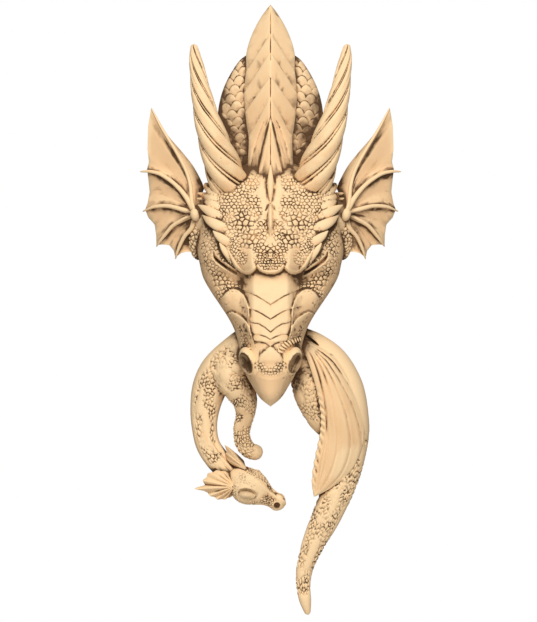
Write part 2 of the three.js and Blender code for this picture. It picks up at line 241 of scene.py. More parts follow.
def shaped(name, bm, place):
    """Puts the mesh's points where place() says, in millimetres, with its faces outwards."""
    mesh = bpy.data.meshes.new(name)
    bm.to_mesh(mesh)
    bm.free()
    across, up, depth = place(points_of(mesh))
    mesh.vertices.foreach_set("co", (np.column_stack([across, -depth, up]) * MM).ravel())
    tidy = bmesh.new()
    tidy.from_mesh(mesh)
    bmesh.ops.recalc_face_normals(tidy, faces=tidy.faces)
    if tidy.calc_volume(signed=True) < 0:
        bmesh.ops.reverse_faces(tidy, faces=tidy.faces)
    tidy.to_mesh(mesh)
    tidy.free()
    return linked(name, mesh)


# %% [markdown]
# A slab and a leaf both start as a grid of unit size. What is drawn out of it moves one unit
# back, so the form can tell front from back by that number.

# %% Slab and leaf
def sheet(columns, rows):
    bm = bmesh.new()
    bmesh.ops.create_grid(bm, x_segments=columns, y_segments=rows, size=0.5)
    return bm


def pull_back(bm, drawn):
    made = [g for g in drawn["geom"] if isinstance(g, bmesh.types.BMVert)]
    bmesh.ops.translate(bm, vec=(0, 0, -1), verts=made)


def slab(name, columns, rows, form):
    """form(u, v) gives across, up and depth; the walls run back past the wall plane."""
    bm = sheet(columns, rows)
    rim = [e for e in bm.edges if e.is_boundary]
    pull_back(bm, bmesh.ops.extrude_edge_only(bm, edges=rim))
    bmesh.ops.edgeloop_fill(bm, edges=[e for e in bm.edges if e.is_boundary])

    def place(p):
        across, up, depth = form(p[:, 0] + 0.5, p[:, 1] + 0.5)
        return across, up, np.where(p[:, 2] < -0.5, BEHIND_WALL, depth)

    return shaped(name, bm, place)


def leaf(name, columns, rows, form):
    """form(u, v, back) gives across, up and depth of the front, or of the back if back is 1."""
    bm = sheet(columns, rows)
    pull_back(bm, bmesh.ops.extrude_face_region(bm, geom=bm.faces[:], use_keep_orig=True))
    return shaped(name, bm, lambda p: form(p[:, 0] + 0.5, p[:, 1] + 0.5, -p[:, 2]))


# %% [markdown]
# A rod is the cone operator's cylinder, cut into rings. The rings at its ends shrink almost to a
# point and are capped. Stations are written for the right-hand side and mirrored for the left.

# %% Rods and eggs
def round_form(name, around, along, form):
    """A closed rod of rings: form(t, turn) places the ring at t, from 0 to 1."""
    bm = bmesh.new()
    bmesh.ops.create_cone(bm, cap_ends=True, segments=around, radius1=1, radius2=1, depth=2)
    staves = [e for e in bm.edges if abs(e.verts[0].co.z - e.verts[1].co.z) > 1]
    bmesh.ops.subdivide_edges(bm, edges=staves, cuts=along - 1, use_grid_fill=True)
    return shaped(name, bm, lambda p: form((1 - p[:, 2]) / 2, np.arctan2(p[:, 0], p[:, 1])))


def limb(name, stations, around, along, skin=None, flat=1.0):
    """Stations are [across, up, depth, radius]; skin(s, arc, turn) adds to the radius.

    s is the length along the path, arc the length round it, and turn the angle from the front.
    """
    fine = np.linspace(0, 1, 801)
    track, _ = spline([row[:3] for row in stations], fine)
    run = np.r_[0, np.cumsum(np.linalg.norm(np.diff(track, axis=0), axis=1))]
    radii = [[i / (len(stations) - 1), row[3]] for i, row in enumerate(stations)]

    def place(share, turn):
        s = share * run[-1]  # rings are evenly spaced along the path
        t = np.interp(s, run, fine)
        spot, way = spline([row[:3] for row in stations], t)
        way /= np.linalg.norm(way, axis=1)[:, None]
        side = np.cross(way, [0.0, 0.0, 1.0])  # across, up, depth: depth is the third
        side /= np.linalg.norm(side, axis=1)[:, None]
        front = np.cross(side, way)
        r = curve(radii, t)
        near_end = np.minimum(s, run[-1] - s) / np.maximum(r, 0.5)
        cap = np.sqrt(1 - (1 - np.clip(near_end, 0.0, 1.0)) ** 2)
        if skin is not None:
            r = r + skin(s, turn * r, turn)
        r = r * np.maximum(cap, 0.02)
        moved = spot + side * (r * np.sin(turn))[:, None]
        return tuple((moved + front * (flat * r * np.cos(turn))[:, None]).T)

    return round_form(name, around, along, place)


def lump(name, centre, halves, lean=0.0, around=48):
    """An egg with its centre, its half sizes across, up and deep, and a lean in degrees."""
    bm = bmesh.new()
    bmesh.ops.create_uvsphere(bm, u_segments=around, v_segments=around // 2, radius=1)
    turn = math.radians(lean)

    def place(p):
        x, z = p[:, 0] * halves[0], p[:, 2] * halves[1]
        across = centre[0] + x * math.cos(turn) - z * math.sin(turn)
        up = centre[1] + x * math.sin(turn) + z * math.cos(turn)
        return across, up, centre[2] - p[:, 1] * halves[2]

    return shaped(name, bm, place)


def mirrored(side, rows):
    """The stations for the right-hand side (1), or for the left-hand one (-1)."""
    return [(side * row[0], *row[1:]) for row in rows]


PARTS = []  # every piece that is joined into the casting


def add(*pieces):
    for piece in pieces:
        PARTS.append(piece)
        print(f"{piece.name}: {len(piece.data.vertices)} points")


# %% [markdown]
# ## The head
#
# Seen from the room the head is a shield: broad at the brow, narrow at the beak. A sculptor
# would cut its outline first and then raise the forehead and the bridge of the nose. The table
# does the same with level sections, one row for each height, and `base_depth` turns a row into
# a rounded section with a plateau for the bridge. The carving is added to that depth step by
# step, so each feature stays one short function that can be read alone.

# %% Level sections of the head
# [up, half width, depth of the widest line, dome depth, middle depth, back depth]
SECTIONS = [
    [84, 0, 20, 20, 20, 10],
    [70, 40, 24, 40, 44, -14],
    [57, 60, 30, 66, 68, -14],
    [40, 66, 32, 77, 79, -14],
    [15, 70, 34, 88, 92, -14],
    [-10, 73, 36, 94, 100, -14],
    [-25, 70.5, 37, 92, 102, -14],
    [-37, 67.5, 38, 84, 100, -14],
    [-50, 60.5, 40, 86, 104, -14],
    [-66, 49.8, 46, 98, 111, -14],
    [-78, 42, 50, 105, 116, -10],
    [-90, 36, 56, 111, 121, 0],
    [-105, 31.5, 66, 115, 125, 18],
    [-120, 29, 74, 115, 127, 42],
    [-133, 25, 82, 114, 126.5, 58],
    [-145, 18.5, 90, 113, 124, 66],
    [-158, 10, 98, 110, 118.5, 76],
    [-166, 0, 106, 106, 106, 92],
]
BRIDGE_HALF = 25.0


def base_depth(across, up):
    half = np.maximum(curve(SECTIONS, up, 1), 0.01)
    round_off = np.sqrt(np.clip(1 - (across / half) ** 2, 0, 1)) ** 0.8
    bridge = 1 - ease((np.abs(across) / np.minimum(BRIDGE_HALF, half) - 0.62) / 0.6)
    dome, middle = curve(SECTIONS, up, 3), curve(SECTIONS, up, 4)
    return mix(curve(SECTIONS, up, 2), dome, round_off) + (middle - dome) * bridge * round_off


# %% [markdown]
# ### The brow, the eyes and the cheeks
#
# The forehead is a cap that overhangs the face. Its edge hangs in three lobes between the eyes
# and runs up along the temples. A line of points holds that edge, the distance from it makes
# the overhang, and a roll just inside makes the thick rim. The half-shut eyes are slits between
# two lids, and the cheeks are two plates whose top edges stand up like shingles. The face is
# symmetric, so the functions work on the distance from the middle, `a`.

# %% Carving lines of the face, [distance from the middle, up]
CAP_EDGE = [
    (0, -34.8), (4, -34.5), (8, -33.4), (11.3, -31.4), (13.4, -29.2), (15.8, -31.4),
    (19.5, -34.2), (24.6, -35.2), (30, -33.2), (35.8, -28), (40.9, -19), (45, -11.5),
    (49, -3), (54, 6), (60, 16), (66, 26), (69.5, 36), (70, 48), (62, 62),
]
LOBE_CREASE = [(13.4, -30.5), (14.6, -24), (18, -15)]
EYE_SLIT = [(58.2, -12.5), (56.5, -17), (52, -21.6), (45.2, -26.7), (39, -30.7), (32.4, -34.2)]
CHEEK_EDGES = [
    [(50, -62), (48, -57), (44.6, -52.9), (40.7, -50), (36.7, -49.2), (31.5, -50.6),
     (27, -54.4), (23.8, -60.5), (21.4, -69.5), (21, -76)],
    [(46, -77), (41.5, -73), (38.5, -72.1), (34, -73.6), (27.6, -77.6), (23.6, -82), (21.2, -87),
     (19, -94)],
]
NOSE_LINES = [
    [(26, -50.6), (24.6, -51.4), (19.5, -53), (13.4, -55.5), (7.2, -59.4), (0, -64)],
    [(22.6, -68.3), (21, -68.8), (17.3, -69.4), (13.4, -70.5), (7.2, -73.8), (0, -78.4)],
    [(22.6, -74), (22.2, -78), (20.6, -81), (16.5, -82.4), (11.3, -83.2), (5.2, -86.8),
     (0, -91.2)],
    [(21.6, -86), (20.6, -90.2), (18, -92.8), (14.5, -94), (10.6, -94), (4.8, -95.8), (0, -98.6)],
    [(20, -95), (18.6, -98), (16.4, -100), (13.7, -100.8), (8.7, -101.2), (4.2, -103), (0, -106)],
]
NOSE_TILTS = (1.4, 1.2, 1.2, 1.1, 1.4)  # how far each plate's lower edge stands up
NOSE_SIDE = [[-100, 19.4], [-90, 21.6], [-80, 23.4], [-66, 22.6], [-52, 25.4]]


def forehead_cap(a, up):
    """The cap's overhang, its rim, the three lobes and the crease between them."""
    edge = beside(CAP_EDGE, a, up)
    brow = 1 - step(a, 42, 10)
    height = mix(mix(6.5, 5.0, step(a, 44, 14)), 4.6, 1 - step(a, 10, 10))
    rim = roll(edge, 2.4, 1.7) * mix(0.35, 1.0, brow) * 2.0
    swell = roll(edge, 8.0, 5.0) * 1.6 * brow
    crease = roll(beside(LOBE_CREASE, a, up), 0, 1.5) * step(-up, 15, 12) * 2.0
    return step(edge, -0.5, 1.5) * height + rim + swell - crease * step(edge, -1, 2)


def eyes(a, up):
    line = np.array(EYE_SLIT, float)
    gap = beside(EYE_SLIT, a, up)
    along = np.clip((line[0, 0] - a) / (line[0, 0] - line[-1, 0]), 0, 1)
    open_eye = np.sin(np.pi * along) ** 0.7
    ball = 3.2 * np.exp(-(((a - 46) / 11) ** 2 + ((up + 27) / 7.5) ** 2))
    lids = 1.5 * (roll(gap, 2.5, 1.0) + roll(gap, -2.4, 1.0)) * step(open_eye, 0.05, 0.4)
    slit = 8.5 * roll(gap, 0, 1.5) * step(open_eye, 0.1, 0.5)
    bag = 2.0 * np.exp(-(((a - 33) / 10) ** 2 + ((up + 42) / 7) ** 2))
    return ball + lids - slit - bag


def cheeks(a, up):
    height = np.zeros(a.shape)
    for line, reach in zip(CHEEK_EDGES, (22.0, 16.0)):
        inside = beside(line, a, up)  # the plate hangs below its line
        fade = 1 - step(a, 44, 8)
        plate = step(inside, -0.5, 1.3) * (1 - np.clip(inside / reach, 0, 1)) ** 0.9
        height += 3.6 * plate * np.maximum(fade, 0)
        height -= 1.2 * roll(inside, -1.3, 1.1) * fade
    return height


def nose_plates(a, up):
    """Plates like shingles: each thickens towards its lower edge, then drops to the next."""
    height = 1.6 * (1 - step(a, 21.0, 3.4)) * step(-up, 52, 8) * (1 - step(-up, 100, 4))
    for line, tilt in zip(NOSE_LINES, NOSE_TILTS):
        above = -beside(line, a, up)
        height += tilt * step(above, -0.5, 1.0) * (1 - step(above, 0.8, 11.0))
        height -= 0.25 * roll(above, -0.7, 0.6)
    side = roll(a, curve(NOSE_SIDE, up), 0.6)
    return height - 0.25 * side * step(-up, 54, 5) * (1 - step(-up, 96, 4))


# %% [markdown]
# ### The nose
#
# A leaf-shaped boss sits over the beak, with small pebbles round its foot. The nostrils bulge
# at both sides. Their holes are cut out later with a second egg, because a hole with an
# overhanging rim can't be told by one depth at each place.

# %% Nose boss and beak
BOSS = [
    (0, -105.9), (-2.6, -107.4), (-4.8, -109.7), (-9.3, -113.4), (-11.6, -117.6), (-12, -121),
    (-11.3, -124.6), (-9.4, -128), (-5.5, -130.6), (0, -131.4),
]
JAW_LINE = [(22.5, -128), (19.6, -133), (18.6, -140), (16.4, -146), (12, -153)]


def nose_boss(a, up):
    inside = beside(BOSS, -a, up)
    foot = step(-up, 119, 5)
    height = 2.8 * step(inside, -0.6, 1.8) * (1 - 0.45 * foot) + 0.05 * np.clip(inside, 0, 9)
    ring = roll(inside, 0.6, 3.4) * foot
    height += ring * 2.0 * (pebbles(a + 1.3, up, 3.1, seed=5) - 0.45)
    jaw = beside(JAW_LINE, a, up)
    height -= 3.4 * step(jaw, -0.4, 1.6) * step(-up, 129, 4)
    return height + 0.35 * roll(np.hypot(a, up + 112), 27, 1.1) * step(-up, 130, 4)


# %% [markdown]
# ### Spines on the forehead
#
# Two folded leaves stand on the middle line, each a ridge with folds that fan out below it.

# %% Forehead spines
def spine(a, up, top, length, spread, keel_half, height):
    """A leaf that widens below its point, with a lens-shaped keel between two valleys."""
    down = (top - up) / length
    leaf = step(spread * down * length - a, -0.4, 2.8) * (1 - step(down, 0.4, 0.6))
    lens = np.sin(np.pi * np.clip(down, 0, 1) ** 0.7)
    wide = 0.6 + keel_half * lens
    shown = step(down, 0, 0.12) * (1 - step(down, 0.7, 0.3))
    keel = np.clip(1 - (a / wide) ** 2, 0, 1) ** 0.8
    valley = roll(a, wide + 1.6, 1.8) * shown
    fold = roll(a, wide + 4.4 + 5 * np.clip(down, 0, 1) ** 1.5, 1.7) * shown
    return 1.5 * leaf + height * keel * step(lens, 0, 0.4) - 1.2 * valley + 1.3 * fold


def spines(a, up):
    first = spine(a, up, top=73, length=36, spread=0.62, keel_half=3.0, height=4.0)
    second = spine(a, up, top=36, length=34, spread=0.8, keel_half=1.6, height=3.0)
    return first + second


# %% [markdown]
# ### Pebbled skin
#
# The skin is pebbled in patches that fade into smooth stone. A list holds each patch's place,
# size and strength for each of three grains of pebble, and where patches of one grain overlap
# the stronger one counts.

# %% Pebbled patches
# (size, seed) of a grain: its patches as (distance from the middle, up, radius, strength)
PATCHES = {
    (5.0, 11): [(27, 19, 9, 2.1), (19, 1, 8, 2.1), (50, -41, 8, 1.5)],
    (3.7, 12): [
        (20, 57, 8, 1.3), (30, 47, 8, 1.0), (43, 43, 7, 0.8), (36, 34, 7, 1.1), (19, 36, 7, 1.2),
        (13, 27, 5, 1.0), (8, 15, 5, 1.5), (9, 4, 6, 1.3), (11, -9, 6, 1.6), (4, -12, 6, 1.6),
        (27, 32, 6, 1.0), (30, 8, 6, 0.8), (51, 36, 7, 0.7), (57, 0, 6, 1.0), (66, -4, 6, 0.9),
        (41, 13, 7, 0.6), (47, 28, 7, 0.7), (62, 8, 8, 0.9), (55, -6, 7, 1.3), (64, -12, 7, 1.0),
        (60, -28, 8, 1.0), (42, -46, 6, 1.2), (33, -48, 4, 1.0), (53, -56, 5, 1.0),
        (47, -65, 4.5, 0.9), (42, -74, 4, 0.8), (37, -83, 4, 0.7), (67, 20, 7, 0.8),
        (66, -24, 8, 0.8),
    ],
    (2.9, 13): [
        (5, -21, 7, 1.6), (44, 22, 6, 0.8), (28, -100, 7, 1.0), (33, -92, 5, 0.9),
        (24, -108, 5, 0.8), (47, -20, 4, 0.8), (10, -20, 6, 1.2), (27, -19, 6, 0.6),
        (35, -11, 6, 0.6), (37, -4, 7, 0.7), (54, 46, 8, 0.7),
    ],
}


def patch_skin(a, up):
    height = np.zeros(a.shape)
    for (size, seed), patches in PATCHES.items():
        weight = np.zeros(a.shape)
        for middle, level, radius, strength in patches:
            gap = ((a - middle) ** 2 + (up - level) ** 2) / radius**2
            weight = np.maximum(weight, strength * np.exp(-((gap / 1.1) ** 1.5)))
        weight *= mix(0.5, 1.35, noise(a, up, 5.0, seed + 20))
        # the stone beside the two spines stays smooth
        weight *= 1 - (1 - step(a, 1.5 + 5 * step(up, 36, 8), 3)) * step(up, -2, 6)
        height += weight * (pebbles(a + 0.4 * noise(a, up, 3, 3), up, size, seed) - 0.55)
    return height


# %% [markdown]
# ### The head as one piece
#
# The head is a rod of level rings. All the carving is added to its plain depth. Only its front
# shows, so three quarters of each ring's points lie there.

# %% The whole front of the head
def face_depth(across, up):
    a = np.abs(across)
    depth = base_depth(across, up) + forehead_cap(a, up) + eyes(a, up) + cheeks(a, up)
    depth += nose_plates(a, up) + nose_boss(a, up) + spines(a, up)
    edge_fade = np.clip(1 - (a / np.maximum(curve(SECTIONS, up, 1), 1)) ** 8, 0, 1)
    return depth + 1.9 * patch_skin(a, up) * mix(0.3, 1.0, edge_fade)


FRONT_SHARE = 0.75


def head_form(t, turn):
    up = mix(SECTIONS[0][0], SECTIONS[-1][0], t)
    share = np.abs(turn) / np.pi
    front = share <= FRONT_SHARE
    behind = 1 + (share - FRONT_SHARE) / (1 - FRONT_SHARE)
    angle = np.where(front, share / FRONT_SHARE * np.pi / 2, np.pi / 2 * behind)
    across = np.sign(turn) * np.maximum(curve(SECTIONS, up, 1), 0.05) * np.sin(angle)
    widest = curve(SECTIONS, up, 2)
    behind = mix(widest, curve(SECTIONS, up, 5), np.clip(-np.cos(angle), 0, 1) ** 0.7)
    return across, up, np.where(front, face_depth(across, up), behind)


add(round_form("head", 380, 380, head_form))

# %% [markdown]
# ### Nostrils
#
# Each nostril is an egg set into the side of the muzzle, and a second egg is kept apart to be
# taken away from the joined casting, as a carver would drill the hole last. The wall of a drilled
# hole gets painted shade at the end, so each egg carries an amount of it.

# %% Nostrils, and the eggs that hollow them
HOLLOWS = []  # eggs that are taken out of the casting
DRILLED = []  # the same eggs as centre, half sizes, lean and amount of painted shade


def drill(name, centre, halves, lean, amount, around=48):
    DRILLED.append((centre, halves, lean, amount))
    HOLLOWS.append(lump(name, centre, halves, lean, around))


for side in (-1, 1):
    add(lump(f"nostril_{side}", (side * 21.6, -121, 107), (9.2, 14.8, 17.5), side * -20))
    drill(f"nostril_hole_{side}", (side * 25.2, -122.8, 121), (6.0, 11.2, 16), side * -25, 0.6)

# %% [markdown]
# ### Thorns on the temples
#
# The edge of the forehead ends in a row of broad thorns that point up and out. They are short
# flattened limbs, each drawn from a root under the skin to a tip that stands off the head.

# %% Temple thorns, [across, up, height over the bare head, radius] from root to tip
THORNS = [
    [(50, 42, 0, 6.5), (58, 49, 6, 5.6), (63.5, 53.5, 14, 4), (66.5, 55, 16, 2)],
    [(48, 36, 0, 5), (59, 41, 7, 4.4), (66.5, 44.5, 14, 3.2), (73, 46.8, 21, 0.3)],
    [(47, 29, 0, 5.5), (59, 35.2, 8, 4.6), (66.5, 39, 15.5, 3.3), (73.6, 41.6, 24, 0.3)],
    [(45, 19, 1, 6), (57, 26, 9, 5.0), (65, 30.8, 16, 3.7), (72.6, 35, 26, 0.3)],
    [(39, 7, 1, 6.5), (52.5, 14, 9, 5.4), (61, 19, 13, 4.0), (68.4, 25, 19, 0.3)],
    [(34, -9, 1, 6), (45.5, -1, 8, 4.8), (52.2, 4.0, 11, 3.4), (57.6, 9, 15, 0.3)],
    [(33, -25, 0, 4.6), (41, -16, 6, 4.0), (46.6, -9.4, 9, 2.9), (51, -3, 13, 0.3)],
]


def thorn_skin(s, arc, turn):
    """The skin's pebbles run on over a thorn's root."""
    return 0.9 * (pebbles(s, arc + 40, 3.2, seed=61) - 0.6) * (1 - step(s, 8, 8))


for side in (-1, 1):
    for number, rows in enumerate(THORNS):
        x, z, lift, r = np.array(rows, float).T
        placed = np.column_stack([side * x, z, base_depth(x, z) + lift, r])
        add(limb(f"thorn_{side}_{number}", placed, 36, 40, thorn_skin, flat=0.66))

# %% [markdown]
# The upper spine's keel stands free at its top, over the foot of the crest. A depth for each
# place can't tell that, so the keel is a slim rod of its own.

# %% The upper spine's keel
KEEL = [(0, 75, 62, 0.4), (0, 67, 66.5, 2.0), (0, 56, 75, 3.1), (0, 46, 82, 2.3), (0, 36, 86, 0.5)]
add(limb("keel", KEEL, 28, 70))

# %% [markdown]
# ### Ribs of small scales over the right nostril
#
# On the right the muzzle carries one odd band: a curved row of narrow rounded ribs. It is nine
# small eggs along a line, each turned across it.

# %% The ribbed band
BAND = [
    (9.6, -111.5), (12, -107.4), (15.2, -104.4), (18.8, -102), (22.6, -100.4), (26, -99.4),
    (29, -98.6),
]
for number, t in enumerate(np.linspace(0, 1, 9)):
    (spot,), (way,) = spline([(x, z, 0) for x, z in BAND], [t])
    lean = math.degrees(math.atan2(way[1], way[0])) + 14
    depth = float(face_depth(np.array([spot[0]]), np.array([spot[1]]))[0])
    size = 2.8 + 1.3 * math.sin(math.pi * min(1, t + 0.15))
    add(lump(f"band_{number}", (spot[0], spot[1], depth + 0.3), (1.2, size, 2.8), lean, around=20))

# %% [markdown]
# ## The crest
#
# Five pointed plates climb the neck, each lying over the one behind it, with a sharp fold down
# the middle. A mould-maker would call it a roof with steps. The roof is one slab, and each
# plate adds its step where a point lies below that plate's two sloping edges. The lowest plate
# is a narrow spike between pleated bands.

# %% Crest tables and form
# [up, half width, ridge depth, edge depth]
CREST = [
    [236, 0, 14, 10], [225, 8.4, 20, 12], [212, 15.8, 24, 13], [199, 21.2, 28, 14],
    [186, 24.3, 31, 16], [171, 24.2, 34, 18], [157, 25.8, 37, 19], [142, 26.4, 40, 21],
    [116, 24, 45, 25], [101, 21.8, 49, 30], [80, 22.6, 55, 36], [60, 24, 60, 42],
]
# [height of the point, fall of the two edges]
PLATES = [(206.9, 1.56), (188.5, 1.55), (164.4, 1.42), (143.8, 1.9)]
SPIKE_TOP, SPIKE_FALL = 122.0, 4.5
# [up, outer edge of the pleats]
PLEATS = [
    [129, 0.8], [122, 5.2], [115, 9], [105, 13], [95, 16.4], [78, 20.4], [66, 22], [60, 22.4],
]
FOOT, TOP = 60.0, 235.6  # the slab's lower and upper ends


def crest_depth(a, up):
    width = np.maximum(curve(CREST, up, 1), 0.5)
    ridge, edge = curve(CREST, up, 2), curve(CREST, up, 3)
    depth = mix(ridge, edge, (a / width) ** 1.15)
    for point, fall in PLATES:
        inside = (point - up - fall * a) / math.hypot(1, fall)
        depth += step(inside, -0.5, 1.5) * (1.4 - 0.028 * np.clip(inside, 0, 30))
    spike = (SPIKE_TOP - up) / SPIKE_FALL
    inside = spike - a
    depth += step(inside, -0.4, 1.2) * 3.4
    outer = curve(PLEATS, up)
    u = np.clip((a - spike) / np.maximum(outer - spike, 0.5), -1, 2)
    band = step(u, 0, 0.1) * (1 - step(u, 0.85, 0.2)) * step(-up, -126, 14)
    folds = 0.7 * roll(u, 0.12, 0.14) + 0.5 * roll(u, 0.5, 0.12) + 0.3 * roll(u, 0.8, 0.09)
    depth -= band * (1.2 + 0.6 * folds)
    parted = np.maximum(step(up, 178, 3), 1 - step(up, 160, 3))
    return depth - 2.4 * roll(a, 0, 0.6) * parted


def crest_form(u, v):
    up = mix(FOOT, TOP, v)
    width = np.maximum(curve(CREST, up, 1), 0.25)
    share = 2 * u - 1
    across = np.sign(share) * np.abs(share) ** 1.3 * width  # points crowd at the middle line
    return across, up, crest_depth(np.abs(across), up)


add(slab("crest", 110, 300, crest_form))

# %% [markdown]
# ## The scaled neck beside the crest
#
# Two lobes of overlapping round scales show at both sides of the crest. One broad slab behind
# it makes both, because the crest covers its middle.

# %% Neck lobes
# [up, half width, depth]
LOBES_TOP = 188.0
LOBES = [
    [LOBES_TOP, 20, 10], [181, 30, 14], [169, 38.6, 17], [157, 45, 20], [145, 49.4, 22],
    [130, 52.4, 24], [112, 53, 25], [90, 48, 24], [60, 36, 22],
]


def lobes_form(u, v):
    up = mix(FOOT, LOBES_TOP, v)
    s = np.sin((u - 0.5) * np.pi)
    round_off = np.sqrt(np.clip(1 - s * s * 0.97, 0, 1))
    a = np.abs(s) * curve(LOBES, up, 1)
    scales = round_scales(a - 0.10 * up + 60, up + 0.22 * a, 10.8, 8.2)
    depth = mix(3.0, curve(LOBES, up, 2), round_off) + 3.0 * scales * mix(0.4, 1, round_off)
    return np.sign(s) * a, up, depth


add(slab("neck_lobes", 220, 200, lobes_form))

# %% [markdown]
# ## Horns
#
# Each horn twists: pairs of narrow grooves wind round it, with broad smooth bands between. A
# turner would cut them with the work slowly turning. Here the groove's place round the horn
# moves on as the length grows, in opposite ways on the two horns.

# %% Horns
HORN = [
    (32, 34, 32, 17), (43.8, 63, 60, 18.8), (57.3, 101, 76, 14.8), (64.9, 127, 76, 11.7),
    (70.5, 154, 71, 9.0), (74.7, 180, 63, 6.1), (76.8, 195, 56, 2.8),
]
TWIST_STEP, TWIST_STARTS = 31.0, 5
GROOVE_GAP = 2.0  # from the middle of a pair to each of its grooves


def horn_skin(side):
    def skin(s, arc, turn):
        place = s / TWIST_STEP - side * TWIST_STARTS * turn / (2 * np.pi) + 0.3
        off = (place - np.round(place)) * TWIST_STEP * 0.62
        slender = np.clip(1.25 - s / 200.0, 0.5, 1.0)
        off = off / slender**0.5
        pair = roll(off, GROOVE_GAP, 1.1) + roll(off, -GROOVE_GAP, 1.1)
        swell = 0.7 * np.cos(off / (TWIST_STEP * 0.31) * np.pi)
        fine = 0.13 * np.sin(off * 3.1 + 0.7 * np.sin(s / 17))
        return slender * (fine - swell - 3.7 * pair)

    return skin


for side in (-1, 1):
    add(limb(f"horn_{side}", mirrored(side, HORN), 150, 280, horn_skin(side)))

# %% [markdown]
# ## Ears
#
# The ears are built like a bat's wing: stiff curved ribs from one hub, with thin skin between
# that sags and ends in scallops. The ribs are limbs that end in claws, and the skin is one
# leaf. Between two ribs it follows both, and near its rim it is pulled to the scalloped line.

# %% Ear ribs and rim, as drawn for the right-hand side
# The first line is the free edge above the ribs. The last one lies in the root, without a limb.
RIBS = [
    [(66, 50, 34), (68.8, 58.4, 35), (77.2, 73.8, 34), (88.5, 88.2, 32), (103.9, 106.5, 30),
     (119.3, 132.2, 31)],
    [(75, 26, 50), (78.3, 36, 50), (80, 54, 48), (84.5, 69.6, 45), (94, 87.8, 41),
     (109, 112.5, 35), (119.3, 132.2, 32)],
    [(75, 26, 50), (84.5, 43, 47), (95.5, 55.5, 41), (109.5, 65.3, 33), (121, 68.6, 27),
     (130.8, 68.4, 22)],
    [(75, 26, 50), (88.5, 30.4, 44), (102.5, 33.9, 36), (116.5, 33.2, 28), (128, 28.6, 20)],
    [(75, 26, 50), (82.8, 22.2, 46), (96.8, 14.8, 38), (106.6, 3.8, 31), (114.4, -6.8, 24)],
    [(75, 24, 48), (78.8, 12, 44), (85.8, 3.8, 39), (91.4, -7.5, 34), (95.2, -19.2, 30)],
    [(74, 20, 44), (75, 8, 38), (77, -3, 34), (79.5, -11.5, 32)],
]
# [place along the ribs, across, up]
RIM = [
    [-1, 119.3, 132.2], [0, 119.3, 132.2], [0.25, 122.4, 114], [0.55, 123.2, 91],
    [0.8, 121.6, 78], [1, 123.5, 71], [1.2, 122.2, 60], [1.5, 121, 48], [1.8, 123, 37],
    [2, 125.4, 30.6], [2.2, 122.4, 22.6], [2.45, 116, 15.6], [2.75, 114.4, 4.6], [3, 114.2, -5],
    [3.2, 108, -4.4], [3.5, 101.2, -5.2], [3.8, 96.8, -10.6], [4, 95.2, -17.4],
    [4.3, 89, -13], [4.6, 84, -11.8], [5, 79.5, -12],
]


def between_ribs(number, t, part):
    """Points at t on one rib and on the next, mixed by part."""
    first, second = (spline(RIBS[k + 1], t)[0] for k in (number, number + 1))
    return mix(first, second, part)


def ear_form(side):
    def form(u, v, back):
        place = mix(-1.0, 5.0, u)  # 0 on the uppermost limb, and below 0 above it
        panel = np.clip(np.floor(place), -1, 4).astype(int)
        f = place - panel
        spot, tip = np.zeros((len(u), 3)), np.zeros((len(u), 3))
        reach = 0.03 + 0.97 * v
        for k in range(-1, 5):
            here = panel == k
            part = f[here][:, None]
            spot[here] = between_ribs(k, reach[here], part)
            tip[here] = between_ribs(k, np.ones(1), part)
        rim = np.column_stack([np.interp(place, *np.array(RIM)[:, [0, c]].T) for c in (1, 2)])
        spot[:, :2] += (rim - tip[:, :2]) * (v**2.2)[:, None]
        arch = 4 * f * (1 - f) * (place > 0)
        sag = 3.4 * arch * np.sin(np.pi * np.clip(v * 0.85, 0, 1)) ** 0.8
        sag -= 3.0 * np.sin(np.pi * f) * (place < 0) * np.sin(np.pi * np.clip(v, 0, 1)) ** 0.5
        fold = np.sin(2 * np.pi * (2.4 * f + 0.5 * v)) * v * (1 - 0.6 * v) * arch * 0.6
        line = roll(f, 0.14, 0.05) * (panel == 0) * v * (1 - v) * 5.0
        depth = spot[:, 2] - sag + fold * (place > 0) - line
        thick = mix(5.0, 2.4, v)
        return side * spot[:, 0], spot[:, 1], depth - back * thick

    return form


for side in (-1, 1):
    add(leaf(f"ear_skin_{side}", 168, 84, ear_form(side)))
    for number, rows in enumerate(RIBS[1:6]):
        thick = [2.4, 1.9, 1.5, 0.6] if number == 0 else [3.0, 2.2, 1.6, 0.6]
        radii = np.interp(np.linspace(0, 1, len(rows)), [0, 0.3, 0.8, 1], thick)
        stations = [(side * x, z, d + 0.2, r) for (x, z, d), r in zip(rows, radii)]
        add(limb(f"ear_rib_{side}_{number}", stations, 24, 70))
    add(lump(f"ear_hub_{side}", (side * 75.2, 25.5, 50), (5.2, 7, 6.5), side * -12))
    add(lump(f"ear_root_{side}", (side * 67, 26, 38), (13, 20, 16)))

# %% [markdown]
# The corner of the jaw hangs below each ear as a pebbled lobe.

# %% Jaw corners
JOWL = [
    (70, 24, 40, 7), (72.5, 12, 38, 8), (73, -2, 32, 8.4), (71.5, -14, 28, 6.5), (71, -20, 26, 4),
]


def jowl_skin(s, arc, turn):
    return 1.5 * (pebbles(s, arc, 4.2, seed=31) - 0.5)


for side in (-1, 1):
    add(limb(f"jowl_{side}", mirrored(side, JOWL), 60, 56, jowl_skin))

# %% [markdown]
# ## The young dragon
#
# A young dragon lies across behind the jaws. At the left its foreleg and its neck hang down, and
# its small head looks back to the right. At the right are the haunch, the folded wing, the back
# and the tail. The limbs are rods with tables of stations, and their skin is the same pebble
# pattern, laid along the limb and round it, in blotches.

